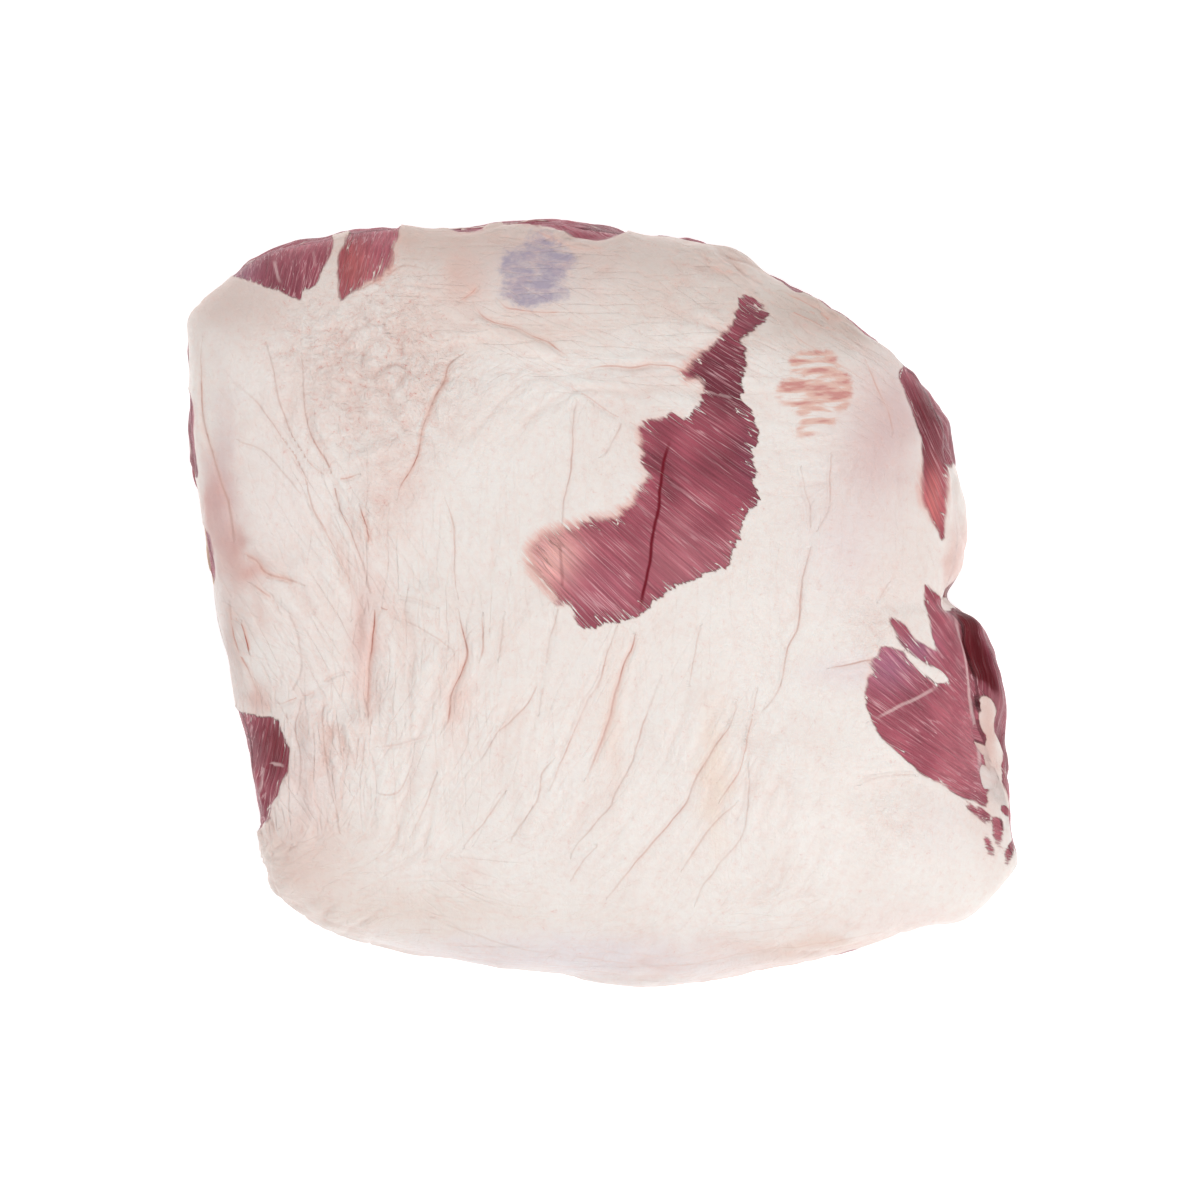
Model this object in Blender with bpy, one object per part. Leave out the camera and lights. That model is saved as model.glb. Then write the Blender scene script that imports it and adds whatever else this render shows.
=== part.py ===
"""A raw bone-in pork butt: a block of lean meat, the fat cap that lies over it, and the blade bone.

The block lies fat side up on its flat underside. +X is its right side, +Y its back, +Z up, and
the origin is the middle of the underside. Lengths are in metres unless a name ends in MM.
"""

import math

import bmesh
import bpy
import numpy as np

MM = 0.001

# Driving dimensions of the whole block
LENGTH = 0.2653
WIDTH = 0.2445
HEIGHT = 0.0955

# The block seen from above, anticlockwise from the right-hand side, at LENGTH by WIDTH
OUTLINE_MM = (
    (117, 4), (116, 20), (114, 40), (108, 62), (94, 80), (76, 92), (51, 107), (20, 117),
    (-20, 122), (-64, 121), (-90, 117), (-116, 107), (-130, 97), (-132.5, 80), (-132, 62),
    (-128, 33), (-123, 5), (-119, -15), (-113, -44), (-108, -73), (-105, -90), (-93, -101),
    (-60, -111), (-26, -118), (12, -122), (51, -118), (89, -108), (116, -101), (128, -92),
    (132.5, -80), (130, -60), (128, -30), (122, -8),
)
OUTLINE_STEPS = 12
WINDOW_STEPS = 2

# The dome of the fat side: its crown, and how far the surface falls at each side of it
CROWN_X = -0.013
CROWN_Y = -0.030
FALL_RIGHT = 0.012
FALL_BACK = 0.019
FALL_LEFT = 0.010
FALL_FRONT = 0.009

# The block's section: heights of its widest line, and how square its edges are
WAIST_RIGHT = 0.044
WAIST_BACK = 0.036
WAIST_LEFT = 0.046
WAIST_FRONT = 0.040
EDGE_RIGHT = 4.8
EDGE_BACK = 3.5
EDGE_LEFT = 6.4
EDGE_FRONT = 2.9
UNDER_EDGE_RIGHT = 3.8
UNDER_EDGE_BACK = 3.6
UNDER_EDGE_LEFT = 6.0
UNDER_EDGE_FRONT = 3.4
BASE_CUT = 0.012

# The right-hand muscle sticks out below the cap, and a crevice splits it from the one behind
LEDGE_DEPTH = 0.009
LEDGE_HEIGHT = 0.066
LEDGE_SOFTNESS = 0.010
LEDGE_AZIMUTH = math.radians(-16)
LEDGE_SPREAD = math.radians(19)
CREVICE_AZIMUTH = math.radians(1.5)
CREVICE_SPREAD = math.radians(3.2)
CREVICE_DEPTH = 0.006
CREVICE_TOP = 0.070

# Slow swells of the surface
SWELL = 0.0006
SWELL_PITCH = 0.083

# Valleys in the fat side, each from one point to another, with their depth and half width
VALLEYS_MM = (
    ((-83, 32), (-75, -28), 2.0, 8),
    ((-75, -28), (-62, -62), 1.0, 9),
    ((-48, 78), (-62, 36), 1.4, 7),
    ((64, 42), (50, -36), 1.6, 9),
    ((-50, 96), (30, 74), 2.2, 12),
    ((-55, -101), (-12, -114), 0.8, 6),
    ((-12, -114), (40, -112), 0.8, 6),
    ((40, -112), (90, -104), 0.7, 6),
    ((-117, 20), (-108, -40), 1.6, 7),
    ((97, -58), (80, -60), 1.2, 6),
)

# The furrows between the muscles at the sides
FURROW_DEPTH = 0.0028
FURROW_WIDTH = 0.0065
FURROW_HEIGHTS = (0.027, 0.053)
FURROW_WANDER = 0.007

# The fat cap: its thickness, and how far down each side it reaches (1 is the rim, 2 the floor)
FAT = 0.0075
FAT_END_RIGHT = 1.14
FAT_END_BACK = 1.40
FAT_END_LEFT = 1.32
FAT_END_FRONT = 1.66
FAT_TAPER = 0.14
PAST_END = -0.2
GAP = 0.0003
WINDOW_SINK = 0.0007

# Bare places in the fat cap, as seen from above
CENTRE_WINDOW_MM = (
    (44.6, 97), (52.6, 94), (50, 88), (44.5, 84), (45.5, 77), (44.5, 68), (46, 63), (50, 52),
    (48, 39), (49, 31), (44, 26), (41, 14), (33, 10), (20, 3.5), (12, -3), (1, -6), (-6, -7.5),
    (-10, 0), (-17, 6), (-21.5, 14), (-18, 21), (-4, 26), (9, 30.5), (17, 39), (13, 45),
    (13, 55), (20, 58.5), (31, 62.5), (33.5, 68), (28, 72), (31.5, 79), (40, 86),
)
RIGHT_WINDOW_MM = (
    (104, 6), (138, 2), (141, -66), (115, -62), (103, -55), (91, -44), (85.5, -33), (85, -24),
    (90, -14.5), (97, -16), (107, -26), (111.5, -24.5), (108, -16), (105, -5),
)
BACK_RIGHT_WINDOW_MM = (
    (96, 75), (97, 69), (99.5, 63), (102.5, 54), (103.5, 33), (105.5, 27), (107.5, 21.5),
    (111, 22), (112, 34), (113, 46), (120, 54), (142, 58), (138, 84), (104, 84),
)
BACK_LEFT_WINDOW_MM = (
    (-88, 106), (-92, 102), (-96.5, 98), (-106, 101), (-113, 104), (-124, 112), (-118, 138),
    (-86, 140),
)
BACK_WINDOW_MM = (
    (-67, 114), (-67.5, 109), (-72.5, 104), (-77, 101.5), (-82, 98), (-83.5, 111), (-82, 140),
    (-64, 140),
)
LEFT_WINDOW_MM = (
    (-142, -34), (-109, -36.5), (-104, -37.5), (-100.5, -45), (-100, -52), (-103, -61),
    (-106, -69), (-140, -72),
)
WINDOWS_MM = (
    CENTRE_WINDOW_MM, RIGHT_WINDOW_MM, BACK_RIGHT_WINDOW_MM, BACK_LEFT_WINDOW_MM,
    BACK_WINDOW_MM, LEFT_WINDOW_MM,
)
WINDOW_TOP = 0.130
WINDOW_DEPTH = 0.095

# The blade bone's sawn section on the left face (along the block, up), and how far it runs in
BONE_SECTION_MM = (
    (-33, -2), (-28, -5.5), (-12, -6.5), (8, -5.5), (26, -4.5), (33, -1), (32, 3), (24, 5),
    (10, 5.5), (4, 8), (2, 15), (-1.5, 18), (-5.5, 16), (-6.5, 9), (-10, 5.5), (-24, 4.5),
    (-31, 3),
)
BONE_Y = 0.016
BONE_Z = 0.036
BONE_FACE_X = -0.150
BONE_LENGTH = 0.118
BONE_TILT = math.radians(3)

# How finely the surface is divided
CELLS_ACROSS = 26
CELLS_DOWN = 12
FLAT_ANGLE = math.radians(0.5)
FLAT_SHARE = 0.9999
WELD = 0.00001


def by_side(azimuth, right, back, left, front):
    """A value for each azimuth that passes smoothly through the four sides' values."""
    along = np.cos(azimuth)
    across = np.sin(azimuth)
    across_share = np.where(across > 0, back, front) * across**2
    return np.where(along > 0, right, left) * along**2 + across_share


def smooth_step(low, high, value):
    share = np.clip((value - low) / (high - low), 0, 1)
    return share * share * (3 - 2 * share)


def bump(value, middle, spread):
    """One at the middle, falling smoothly to nothing a few spreads away."""
    return np.exp(-(((value - middle) / spread) ** 2))


def rounded_outline(points, steps):
    """A closed Catmull-Rom curve through the points, as an array of x and y."""
    ring = np.array(points, dtype=float)
    before, after, beyond = (np.roll(ring, shift, axis=0) for shift in (1, -1, -2))
    shares = np.arange(steps)[:, None, None] / steps
    curve = 0.5 * (
        2 * ring
        + (after - before) * shares
        + (2 * before - 5 * ring + 4 * after - beyond) * shares**2
        + (3 * ring - before - 3 * after + beyond) * shares**3
    )
    return curve.transpose(1, 0, 2).reshape(-1, 2)


def outline_reach(azimuth):
    """How far the block reaches from its middle in each direction, seen from above."""
    ring = rounded_outline(OUTLINE_MM, OUTLINE_STEPS) * MM
    directions = np.arctan2(ring[:, 1], ring[:, 0])
    order = np.argsort(directions)
    reaches = np.hypot(ring[:, 0], ring[:, 1])[order]
    return np.interp(azimuth, directions[order], reaches, period=2 * math.pi)


def dome_height(x, y):
    """The fat side's height before its edges are rounded down."""
    right = FALL_RIGHT * (np.maximum(x - CROWN_X, 0) / (LENGTH / 2)) ** 2
    left = FALL_LEFT * (np.maximum(CROWN_X - x, 0) / (LENGTH / 2)) ** 2
    back = FALL_BACK * (np.maximum(y - CROWN_Y, 0) / (WIDTH / 2)) ** 2
    front = FALL_FRONT * (np.maximum(CROWN_Y - y, 0) / (WIDTH / 2)) ** 2
    return HEIGHT - right - left - back - front


def valley(x, y, start, end, depth, half_width):
    """The depth of a valley that follows a straight line from start to end."""
    start, end = (np.array(point) * MM for point in (start, end))
    along = end - start
    share = ((x - start[0]) * along[0] + (y - start[1]) * along[1]) / (along @ along)
    share = np.clip(share, 0, 1)
    away = np.hypot(x - start[0] - share * along[0], y - start[1] - share * along[1])
    return depth * MM * bump(away, 0, half_width * MM)


def swells(x, y, z):
    """Slow uneven swells of the meat, from three crossing waves."""
    turn = 2 * math.pi / SWELL_PITCH
    wave = np.sin(turn * (x + 0.6 * y)) + np.sin(turn * (0.7 * y - 0.4 * x + z) + 1.3)
    return SWELL * (wave + np.sin(turn * (0.5 * x - 1.1 * y + 0.8 * z) + 2.1))


def side_depth(azimuth, height, above_waist):
    """How far the side's surface lies inside the outline: the ledge, crevice and furrows."""
    ledge = LEDGE_DEPTH * bump(azimuth, LEDGE_AZIMUTH, LEDGE_SPREAD)
    ledge = ledge * smooth_step(LEDGE_HEIGHT - LEDGE_SOFTNESS, LEDGE_HEIGHT, height)
    crevice = CREVICE_DEPTH * bump(azimuth, CREVICE_AZIMUTH, CREVICE_SPREAD)
    crevice = crevice * (0.15 + 0.85 * smooth_step(CREVICE_TOP, CREVICE_TOP - 0.012, height))
    wander = FURROW_WANDER * np.sin(3 * azimuth + 0.7)
    furrows = sum(bump(height, level + wander, FURROW_WIDTH) for level in FURROW_HEIGHTS)
    bare = by_side(azimuth, 1.0, 0.8, 1.0, 0.25)
    return ledge + crevice + FURROW_DEPTH * furrows * bare * (1 - 0.6 * above_waist)


def block_points(cube):
    """Carries points on the surface of a cube from -1 to 1 onto the block's surface."""
    ring = np.maximum(np.abs(cube[:, 0]), np.abs(cube[:, 1]))
    azimuth = np.arctan2(cube[:, 1], cube[:, 0])
    upper = cube[:, 2] >= 0
    edge = np.where(
        upper,
        by_side(azimuth, EDGE_RIGHT, EDGE_BACK, EDGE_LEFT, EDGE_FRONT),
        by_side(azimuth, UNDER_EDGE_RIGHT, UNDER_EDGE_BACK, UNDER_EDGE_LEFT, UNDER_EDGE_FRONT),
    )
    corner = 2 ** (-1 / edge)
    on_side = ring > 1 - WELD
    rise = corner * np.abs(cube[:, 2])
    spread = np.where(on_side, (1 - rise**edge) ** (1 / edge), corner * ring)
    rise = np.where(on_side, rise, (1 - np.minimum(spread, 1) ** edge) ** (1 / edge))
    reach = outline_reach(azimuth)
    waist = by_side(azimuth, WAIST_RIGHT, WAIST_BACK, WAIST_LEFT, WAIST_FRONT)
    waist_middle = (WAIST_RIGHT + WAIST_BACK + WAIST_LEFT + WAIST_FRONT) / 4
    waist = waist_middle + (waist - waist_middle) * spread
    x = spread * reach * np.cos(azimuth)
    y = spread * reach * np.sin(azimuth)
    z = np.where(
        upper,
        waist + (dome_height(x, y) - waist) * rise,
        waist - (waist + BASE_CUT) * rise,
    )
    inward = side_depth(azimuth, z, smooth_step(0, 0.5, np.where(upper, rise, 0)))
    inward = inward * smooth_step(0.55, 0.95, spread)
    x = x - inward * np.cos(azimuth)
    y = y - inward * np.sin(azimuth)
    relief = swells(x, y, z) * (1 - spread**6)
    relief = relief - sum(valley(x, y, *line) for line in VALLEYS_MM)
    z = z + np.where(upper, relief * smooth_step(0, 0.3, rise), 0)
    return np.stack([x, y, np.maximum(z, 0)], axis=1)


def fat_depth(cube):
    """The cap's depth over each point of the cube: full on top, and below nothing past its end."""
    azimuth = np.arctan2(cube[:, 1], cube[:, 0])
    ring = np.maximum(np.abs(cube[:, 0]), np.abs(cube[:, 1]))
    down = np.where(cube[:, 2] > 1 - WELD, ring, 1 + (1 - cube[:, 2]) / 2)
    end = by_side(azimuth, FAT_END_RIGHT, FAT_END_BACK, FAT_END_LEFT, FAT_END_FRONT)
    return FAT * np.clip((end - down) / FAT_TAPER, PAST_END, 1)


def divided_cube():
    """A cube from -1 to 1 cut into cells, fewer down its sides than across its top."""
    mesh = bmesh.new()
    bmesh.ops.create_cube(mesh, size=2)
    for axis, cells in enumerate((CELLS_ACROSS, CELLS_ACROSS, CELLS_DOWN)):
        normal = [0, 0, 0]
        normal[axis] = 1
        for step in range(1, cells):
            place = [0, 0, 0]
            place[axis] = 2 * step / cells - 1
            geometry = mesh.verts[:] + mesh.edges[:] + mesh.faces[:]
            bmesh.ops.bisect_plane(mesh, geom=geometry, plane_co=place, plane_no=normal)
    bmesh.ops.triangulate(mesh, faces=mesh.faces[:], quad_method="FIXED")
    return mesh


def move_inward(mesh, depths):
    """Moves each vertex against its normal by its own depth."""
    mesh.normal_update()
    moves = [vert.normal * depth for vert, depth in zip(mesh.verts, depths)]
    for vert, move in zip(mesh.verts, moves):
        vert.co -= move


def block_mesh(name, depth_at):
    """The block's surface as a mesh, each point moved inward by depth_at(cube points)."""
    mesh = divided_cube()
    cube = np.array([vert.co[:] for vert in mesh.verts])
    for vert, place in zip(mesh.verts, block_points(cube)):
        vert.co = place
    move_inward(mesh, depth_at(cube))
    mesh.normal_update()
    floor = [face for face in mesh.faces if face.normal.z < -FLAT_SHARE]
    floor_edges = list({edge for face in floor for edge in face.edges})
    floor_verts = list({vert for face in floor for vert in face.verts})
    bmesh.ops.dissolve_limit(
        mesh, angle_limit=FLAT_ANGLE, verts=floor_verts, edges=floor_edges
    )
    bmesh.ops.recalc_face_normals(mesh, faces=mesh.faces[:])
    data = bpy.data.meshes.new(name)
    mesh.to_mesh(data)
    mesh.free()
    return data


def add_object(name, data, collection, material=None):
    obj = bpy.data.objects.new(name, data)
    collection.objects.link(obj)
    if material is not None:
        data.materials.append(material)
    return obj


def hide_cutter(obj):
    obj.hide_render = True
    obj.display_type = "WIRE"


def grown_outline(points, grow):
    """The outline's points moved outward by grow, along the mean of their two edges' normals."""
    ring = np.array(points, dtype=float)
    along = np.roll(ring, -1, axis=0) - np.roll(ring, 1, axis=0)
    normals = np.stack([along[:, 1], -along[:, 0]], axis=1)
    normals /= np.linalg.norm(normals, axis=1)[:, None]
    x, y = ring.T
    area = np.sum(x * np.roll(y, -1) - np.roll(x, -1) * y)
    return ring + normals * grow * math.copysign(1, area)


def outline_curve(name, outlines, half_depth):
    """A flat filled curve through each outline, thickened both ways by half_depth."""
    curve = bpy.data.curves.new(name, "CURVE")
    curve.dimensions = "2D"
    curve.fill_mode = "BOTH"
    curve.extrude = half_depth
    for points in outlines:
        spline = curve.splines.new("POLY")
        spline.points.add(len(points) - 1)
        for spot, (x, y) in zip(spline.points, points):
            spot.co = (x, y, 0, 1)
        spline.use_cyclic_u = True
    return bpy.data.objects.new(name, curve)


def curve_to_solid(curve_object, collection):
    """Replaces a curve object with a mesh object of the same name and shape, its caps welded."""
    collection.objects.link(curve_object)
    bpy.context.view_layer.update()
    evaluated = curve_object.evaluated_get(bpy.context.evaluated_depsgraph_get())
    data = bpy.data.meshes.new_from_object(evaluated)
    mesh = bmesh.new()
    mesh.from_mesh(data)
    bmesh.ops.remove_doubles(mesh, verts=mesh.verts[:], dist=WELD)
    bmesh.ops.recalc_face_normals(mesh, faces=mesh.faces[:])
    mesh.to_mesh(data)
    mesh.free()
    name = curve_object.name
    place = curve_object.matrix_world.copy()
    bpy.data.objects.remove(curve_object)
    data.name = name
    solid = add_object(name, data, collection)
    solid.matrix_world = place
    return solid


def window_cutter(name, grow, collection):
    """Upright prisms over the bare places in the fat cap."""
    outlines = [rounded_outline(points, WINDOW_STEPS) for points in WINDOWS_MM]
    outlines = [grown_outline(points, grow / MM) * MM for points in outlines]
    prisms = outline_curve(name, outlines, WINDOW_DEPTH / 2 + grow)
    prisms.location = (0, 0, WINDOW_TOP - WINDOW_DEPTH / 2)
    solid = curve_to_solid(prisms, collection)
    hide_cutter(solid)
    return solid


def bone_solid(name, grow, collection):
    """The bone's section run in from beyond the left face, along +X."""
    outline = grown_outline(BONE_SECTION_MM, grow / MM) * MM
    bar = outline_curve(name, [outline], (BONE_LENGTH + grow) / 2)
    bar.rotation_euler = (math.pi / 2, 0, math.pi / 2 + BONE_TILT)
    bar.location = (BONE_FACE_X + (BONE_LENGTH + grow) / 2, BONE_Y, BONE_Z)
    return curve_to_solid(bar, collection)


def add_boolean(obj, operation, cutter, solver="EXACT"):
    """Adds a Boolean. MANIFOLD is for the wide thin cuts that EXACT leaves with lost parts."""
    boolean = obj.modifiers.new(operation.title(), "BOOLEAN")
    boolean.operation = operation
    boolean.object = cutter
    boolean.solver = solver


def make_material(name, colour, roughness):
    material = bpy.data.materials.new(name)
    material.use_nodes = True
    shader = material.node_tree.nodes["Principled BSDF"]
    shader.inputs["Base Color"].default_value = (*colour, 1)
    shader.inputs["Roughness"].default_value = roughness
    shader.inputs["Metallic"].default_value = 0
    return material


def make_fat_cap(parts, cutters):
    """The fat layer: the block less the lean under it and less the bare places."""
    fat = make_material("fat", (0.80, 0.71, 0.66), 0.42)
    data = block_mesh("fat_cap", lambda cube: np.zeros(len(cube)))
    cap = add_object("fat_cap", data, parts, fat)
    core_data = block_mesh("lean_with_gap", lambda cube: fat_depth(cube) - GAP)
    core = add_object("lean_with_gap", core_data, cutters)
    hide_cutter(core)
    add_boolean(cap, "DIFFERENCE", core, solver="MANIFOLD")
    windows = window_cutter("windows_with_gap", GAP, cutters)
    add_boolean(cap, "DIFFERENCE", windows, solver="MANIFOLD")
    return cap


def make_lean_meat(parts, cutters):
    """The lean block: it fills the bare places almost to the fat's surface."""
    lean = make_material("lean", (0.33, 0.10, 0.12), 0.38)
    data = block_mesh("lean_meat", lambda cube: np.maximum(fat_depth(cube), 0))
    meat = add_object("lean_meat", data, parts, lean)
    sunk_data = block_mesh("bare_lean", lambda cube: np.full(len(cube), WINDOW_SINK))
    sunk = add_object("bare_lean", sunk_data, cutters)
    hide_cutter(sunk)
    add_boolean(sunk, "INTERSECT", window_cutter("windows", 0, cutters))
    add_boolean(meat, "UNION", sunk, solver="MANIFOLD")
    pocket = bone_solid("bone_pocket", GAP, cutters)
    hide_cutter(pocket)
    add_boolean(meat, "DIFFERENCE", pocket)
    return meat


def make_blade_bone(parts, cutters):
    """The blade bone, sawn off flush with the left face."""
    bone = make_material("bone", (0.74, 0.62, 0.50), 0.55)
    blade = bone_solid("blade_bone", 0, parts)
    blade.data.materials.append(bone)
    block_data = block_mesh("whole_block", lambda cube: np.zeros(len(cube)))
    block = add_object("whole_block", block_data, cutters)
    hide_cutter(block)
    add_boolean(blade, "INTERSECT", block)
    return blade


def main():
    for obj in list(bpy.data.objects):
        bpy.data.objects.remove(obj)
    parts = bpy.data.collections.new("pork_butt")
    cutters = bpy.data.collections.new("cutters")
    for collection in (parts, cutters):
        bpy.context.scene.collection.children.link(collection)
    make_fat_cap(parts, cutters)
    make_lean_meat(parts, cutters)
    make_blade_bone(parts, cutters)


main()
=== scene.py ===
"""A raw bone-in pork butt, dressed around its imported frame: fat cap, lean block and blade bone.

The block lies fat side up. +X is its right side, +Y its back and +Z up. Lengths are in metres
unless a name ends in MM, and the surface's relief and attributes are worked out in millimetres.
"""

import itertools
import math

import bmesh
import bpy
import numpy as np
from bpy.props import FloatProperty, FloatVectorProperty, PointerProperty
from bpy.types import Operator, Panel, PropertyGroup
from mathutils import Matrix, Vector


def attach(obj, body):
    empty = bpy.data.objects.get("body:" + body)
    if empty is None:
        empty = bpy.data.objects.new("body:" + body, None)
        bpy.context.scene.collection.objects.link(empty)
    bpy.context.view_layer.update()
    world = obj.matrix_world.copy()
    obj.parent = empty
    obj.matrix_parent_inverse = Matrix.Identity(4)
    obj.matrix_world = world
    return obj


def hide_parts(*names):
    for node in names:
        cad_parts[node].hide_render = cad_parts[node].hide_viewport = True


bl_info = {
    "name": "Bone-in pork butt",
    "version": (1, 0, 0),
    "blender": (4, 5, 0),
    "location": "View3D > Sidebar > Pork butt",
    "description": "Makes a raw bone-in pork butt with its fat cap, lean meat and blade bone",
    "category": "Add Mesh",
}

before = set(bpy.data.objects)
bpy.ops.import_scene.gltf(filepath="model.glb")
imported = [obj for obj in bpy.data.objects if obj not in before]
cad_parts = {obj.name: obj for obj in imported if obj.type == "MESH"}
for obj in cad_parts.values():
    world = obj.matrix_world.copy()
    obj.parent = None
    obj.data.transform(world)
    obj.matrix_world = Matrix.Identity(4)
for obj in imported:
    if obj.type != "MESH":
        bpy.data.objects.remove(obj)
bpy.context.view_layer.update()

MM = 0.001
# A distance in mm that stands for nowhere near
FAR = 40.0
# How many random values a cube of noise has along each side, before it repeats
LATTICE = 64
# How many spots are measured against an outline at a time, to save memory
BATCH = 4000

# The camera looks straight down, and this plane of the block is seen at its true size
PLANE_HEIGHT = 0.042
SENSOR = 36.0
FRAME_WIDTH = 0.384
CAMERA_X = -0.0005
CAMERA_Y = 0.001

# The soft lights: place, size, and power as a share of the key light's
LIGHTS = {
    "key light": ((0.7, -0.65, 1.2), 0.6, 1.0),
    "top light": ((-0.7, 0.7, 1.5), 1.4, 1.1),
}
LIGHT_TARGET = (0, 0, 0.05)

# The block seen from above, anticlockwise from the right-hand side
OUTLINE_MM = (
    (116.5, 5), (116, 14), (116, 23), (115, 33), (113.5, 43), (112, 50), (111.5, 57),
    (108.5, 62), (103, 71.5), (97.5, 76.5), (92, 81), (86, 85.5), (79, 90.5), (71, 95.5),
    (63, 100), (50.5, 107.5), (38, 114), (25, 117), (12, 118.5), (0, 120.5), (-13, 122),
    (-26, 121.5), (-39, 120.5), (-52, 120), (-64.5, 120.5), (-79, 119.5), (-90, 117),
    (-103, 114), (-112, 110), (-118.5, 105), (-124, 100), (-129, 95), (-132, 90),
    (-132, 81), (-131.5, 71), (-131.5, 62), (-131, 52), (-130, 42.5), (-128, 33),
    (-126.5, 23), (-125, 14), (-123.5, 4), (-122, -5.5), (-119.5, -15), (-117.5, -25),
    (-116, -34), (-113, -44), (-111.5, -53.5), (-110, -63), (-108, -72.5), (-106.5, -82),
    (-103, -92), (-91, -101.5), (-78, -106.5), (-64.5, -110), (-52, -113), (-39, -115.5),
    (-26, -117.5), (-13, -119), (0, -120.5), (12, -121.5), (25, -121), (38, -119.5),
    (50.5, -117), (63.5, -114.5), (76, -111.5), (89, -107.5), (102, -103.5), (114, -101.5),
    (121.5, -97), (127, -91.5), (131, -86), (132.5, -82), (130.5, -73), (130, -63),
    (129.5, -53.5), (128.5, -44), (129, -34), (128, -24.5), (125, -15), (120.5, -5.5),
    (116, -1),
)
OUTLINE_STEPS = 6

# The dome of the fat side: its crown, and how far the surface falls at each side of it
HEIGHT = 0.0955
CROWN_X = -0.013
CROWN_Y = -0.030
HALF_LENGTH = 0.13265
HALF_WIDTH = 0.12225
FALLS = {"right": 0.012, "back": 0.019, "left": 0.010, "front": 0.009}

# The block's section: heights of its widest line, and how square its edges are
WAISTS = {"right": 0.044, "back": 0.036, "left": 0.046, "front": 0.040}
EDGES = {"right": 4.8, "back": 3.5, "left": 6.4, "front": 2.9}
UNDER_EDGES = {"right": 3.8, "back": 3.6, "left": 6.0, "front": 3.4}
BASE_CUT = 0.012

# The right-hand muscle sticks out below the cap, and a crevice splits it from the one behind
LEDGE_DEPTH = 0.009
LEDGE_HEIGHT = 0.066
LEDGE_SOFTNESS = 0.008
LEDGE_AZIMUTH = math.radians(-16)
LEDGE_SPREAD = math.radians(17)
CREVICE_AZIMUTH = math.radians(1.5)
CREVICE_SPREAD = math.radians(2.6)
CREVICE_DEPTH = 0.006
CREVICE_TOP = 0.070
CREVICE_SOFTNESS = 0.012
CREVICE_ABOVE = 0.15

# Slow swells of the surface, and broad valleys in the fat with their depth and half width
SWELL = 0.0006
SWELL_PITCH = 0.083
VALLEYS_MM = (
    ((-83, 32), (-75, -28), 2.0, 8),
    ((-75, -28), (-62, -62), 1.0, 9),
    ((-48, 78), (-62, 36), 1.4, 7),
    ((64, 42), (50, -36), 1.6, 9),
    ((-50, 96), (30, 74), 2.2, 12),
    ((-55, -101), (-12, -114), 0.8, 6),
    ((-12, -114), (40, -112), 0.8, 6),
    ((40, -112), (90, -104), 0.7, 6),
    ((-117, 20), (-108, -40), 1.6, 7),
    ((97, -58), (80, -60), 1.2, 6),
)

# How far down the sides the cap reaches (1 is the rim, 2 the foot), and a level's height
CAP_ENDS = {"right": 1.14, "back": 1.40, "left": 1.32, "front": 1.66}
LEVEL_MM = 62.0
GAP_MM = 0.3
# How far the bare lean lies below the fat's surface, in the mesh and in its finish, and how far
# the fat's lip stands up round it
WINDOW_DEPTH_MM = 0.75
LEAN_SUNK_MM = 1.1
WINDOW_LIP_MM = 0.25
# How far the sides swell at the foot and seams of fat stand out, and how far the meat swells
# round the bone and lies back behind it
FOOT_SWELL_MM = 1.6
SEAM_PROUD_MM = 0.35
BONE_RIM_MM = 0.5
BONE_SEAT_MM = 2.2

# How finely the surfaces are divided: columns to each quarter of the way round, and rows
COLUMNS = 220
CAP_ROWS = 26
INNER_ROWS = 7
SIDE_ROWS = 70
UNDER_ROWS = 11
WELD = 0.0001

# Bare places in the fat cap, as the camera sees them
CENTRE_WINDOW_MM = (
    (44.6, 97), (49, 97.2), (52.6, 94), (52.6, 92), (50.5, 89), (47.5, 87), (43.7, 84),
    (45.3, 81.5), (45.6, 77), (44.6, 72), (44.6, 68), (43.5, 66.5), (46, 63), (48, 60),
    (49.8, 52), (47.5, 48.5), (49, 41), (47.8, 39), (49.8, 35), (49, 31.5), (45.6, 28),
    (44.3, 26), (43.7, 22), (41.8, 17), (41, 14), (38.5, 11.5), (33, 10), (30, 8),
    (25, 6.5), (20, 3.5), (15.5, 0), (12.3, -3), (7.5, -5), (1, -6), (-6, -7.5), (-8.5, -3),
    (-10, 0), (-13.3, 0.3), (-14.2, 2.5), (-17, 5.8), (-19.7, 10), (-21.6, 14.4),
    (-21.3, 17.6), (-18, 20.8), (-13.3, 22.4), (-8.5, 24.3), (-3.7, 26), (1, 26.6),
    (6, 27.2), (9, 30.4), (11.4, 33), (12.3, 36), (14, 39), (17.8, 39.7), (15, 42), (13, 45),
    (14.2, 50), (13, 55.4), (15.5, 58.2), (20.3, 58.5), (23, 60), (27, 59), (31, 62.4),
    (32.5, 65), (33.5, 68), (31.5, 72.3), (27.4, 72.3), (28.3, 75.2), (31.5, 78.7),
    (36.3, 82.5), (40, 85.8), (43.4, 91),
)
RIGHT_WINDOW_MM = (
    (103.5, 5.8), (106.7, 3.5), (110.5, 1), (114, -0.6), (124, -2), (134, -20), (134, -45),
    (126, -58), (124.8, -63), (123.4, -65.5), (119.5, -63), (114.7, -62), (110, -58.2),
    (103.5, -55), (98.7, -51), (94.6, -47), (90.7, -43.8), (88.5, -40.6), (86, -35),
    (85, -31), (85.3, -24.6), (87.5, -22), (86.6, -19), (89, -16.6), (89.8, -14.4),
    (94, -15), (97, -16), (99.4, -19), (103.5, -23), (107.4, -26), (111.5, -24.6),
    (109.3, -20.8), (107.7, -16.6), (106.5, -11), (105.2, -4),
)
RIGHT_FINGER_MM = (
    (92.3, -4.6), (97, -7.6), (100.3, -11.8), (105, -14.4), (113.7, -20.8), (112, -23),
    (104, -19), (98, -14.5), (94, -9),
)
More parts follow.
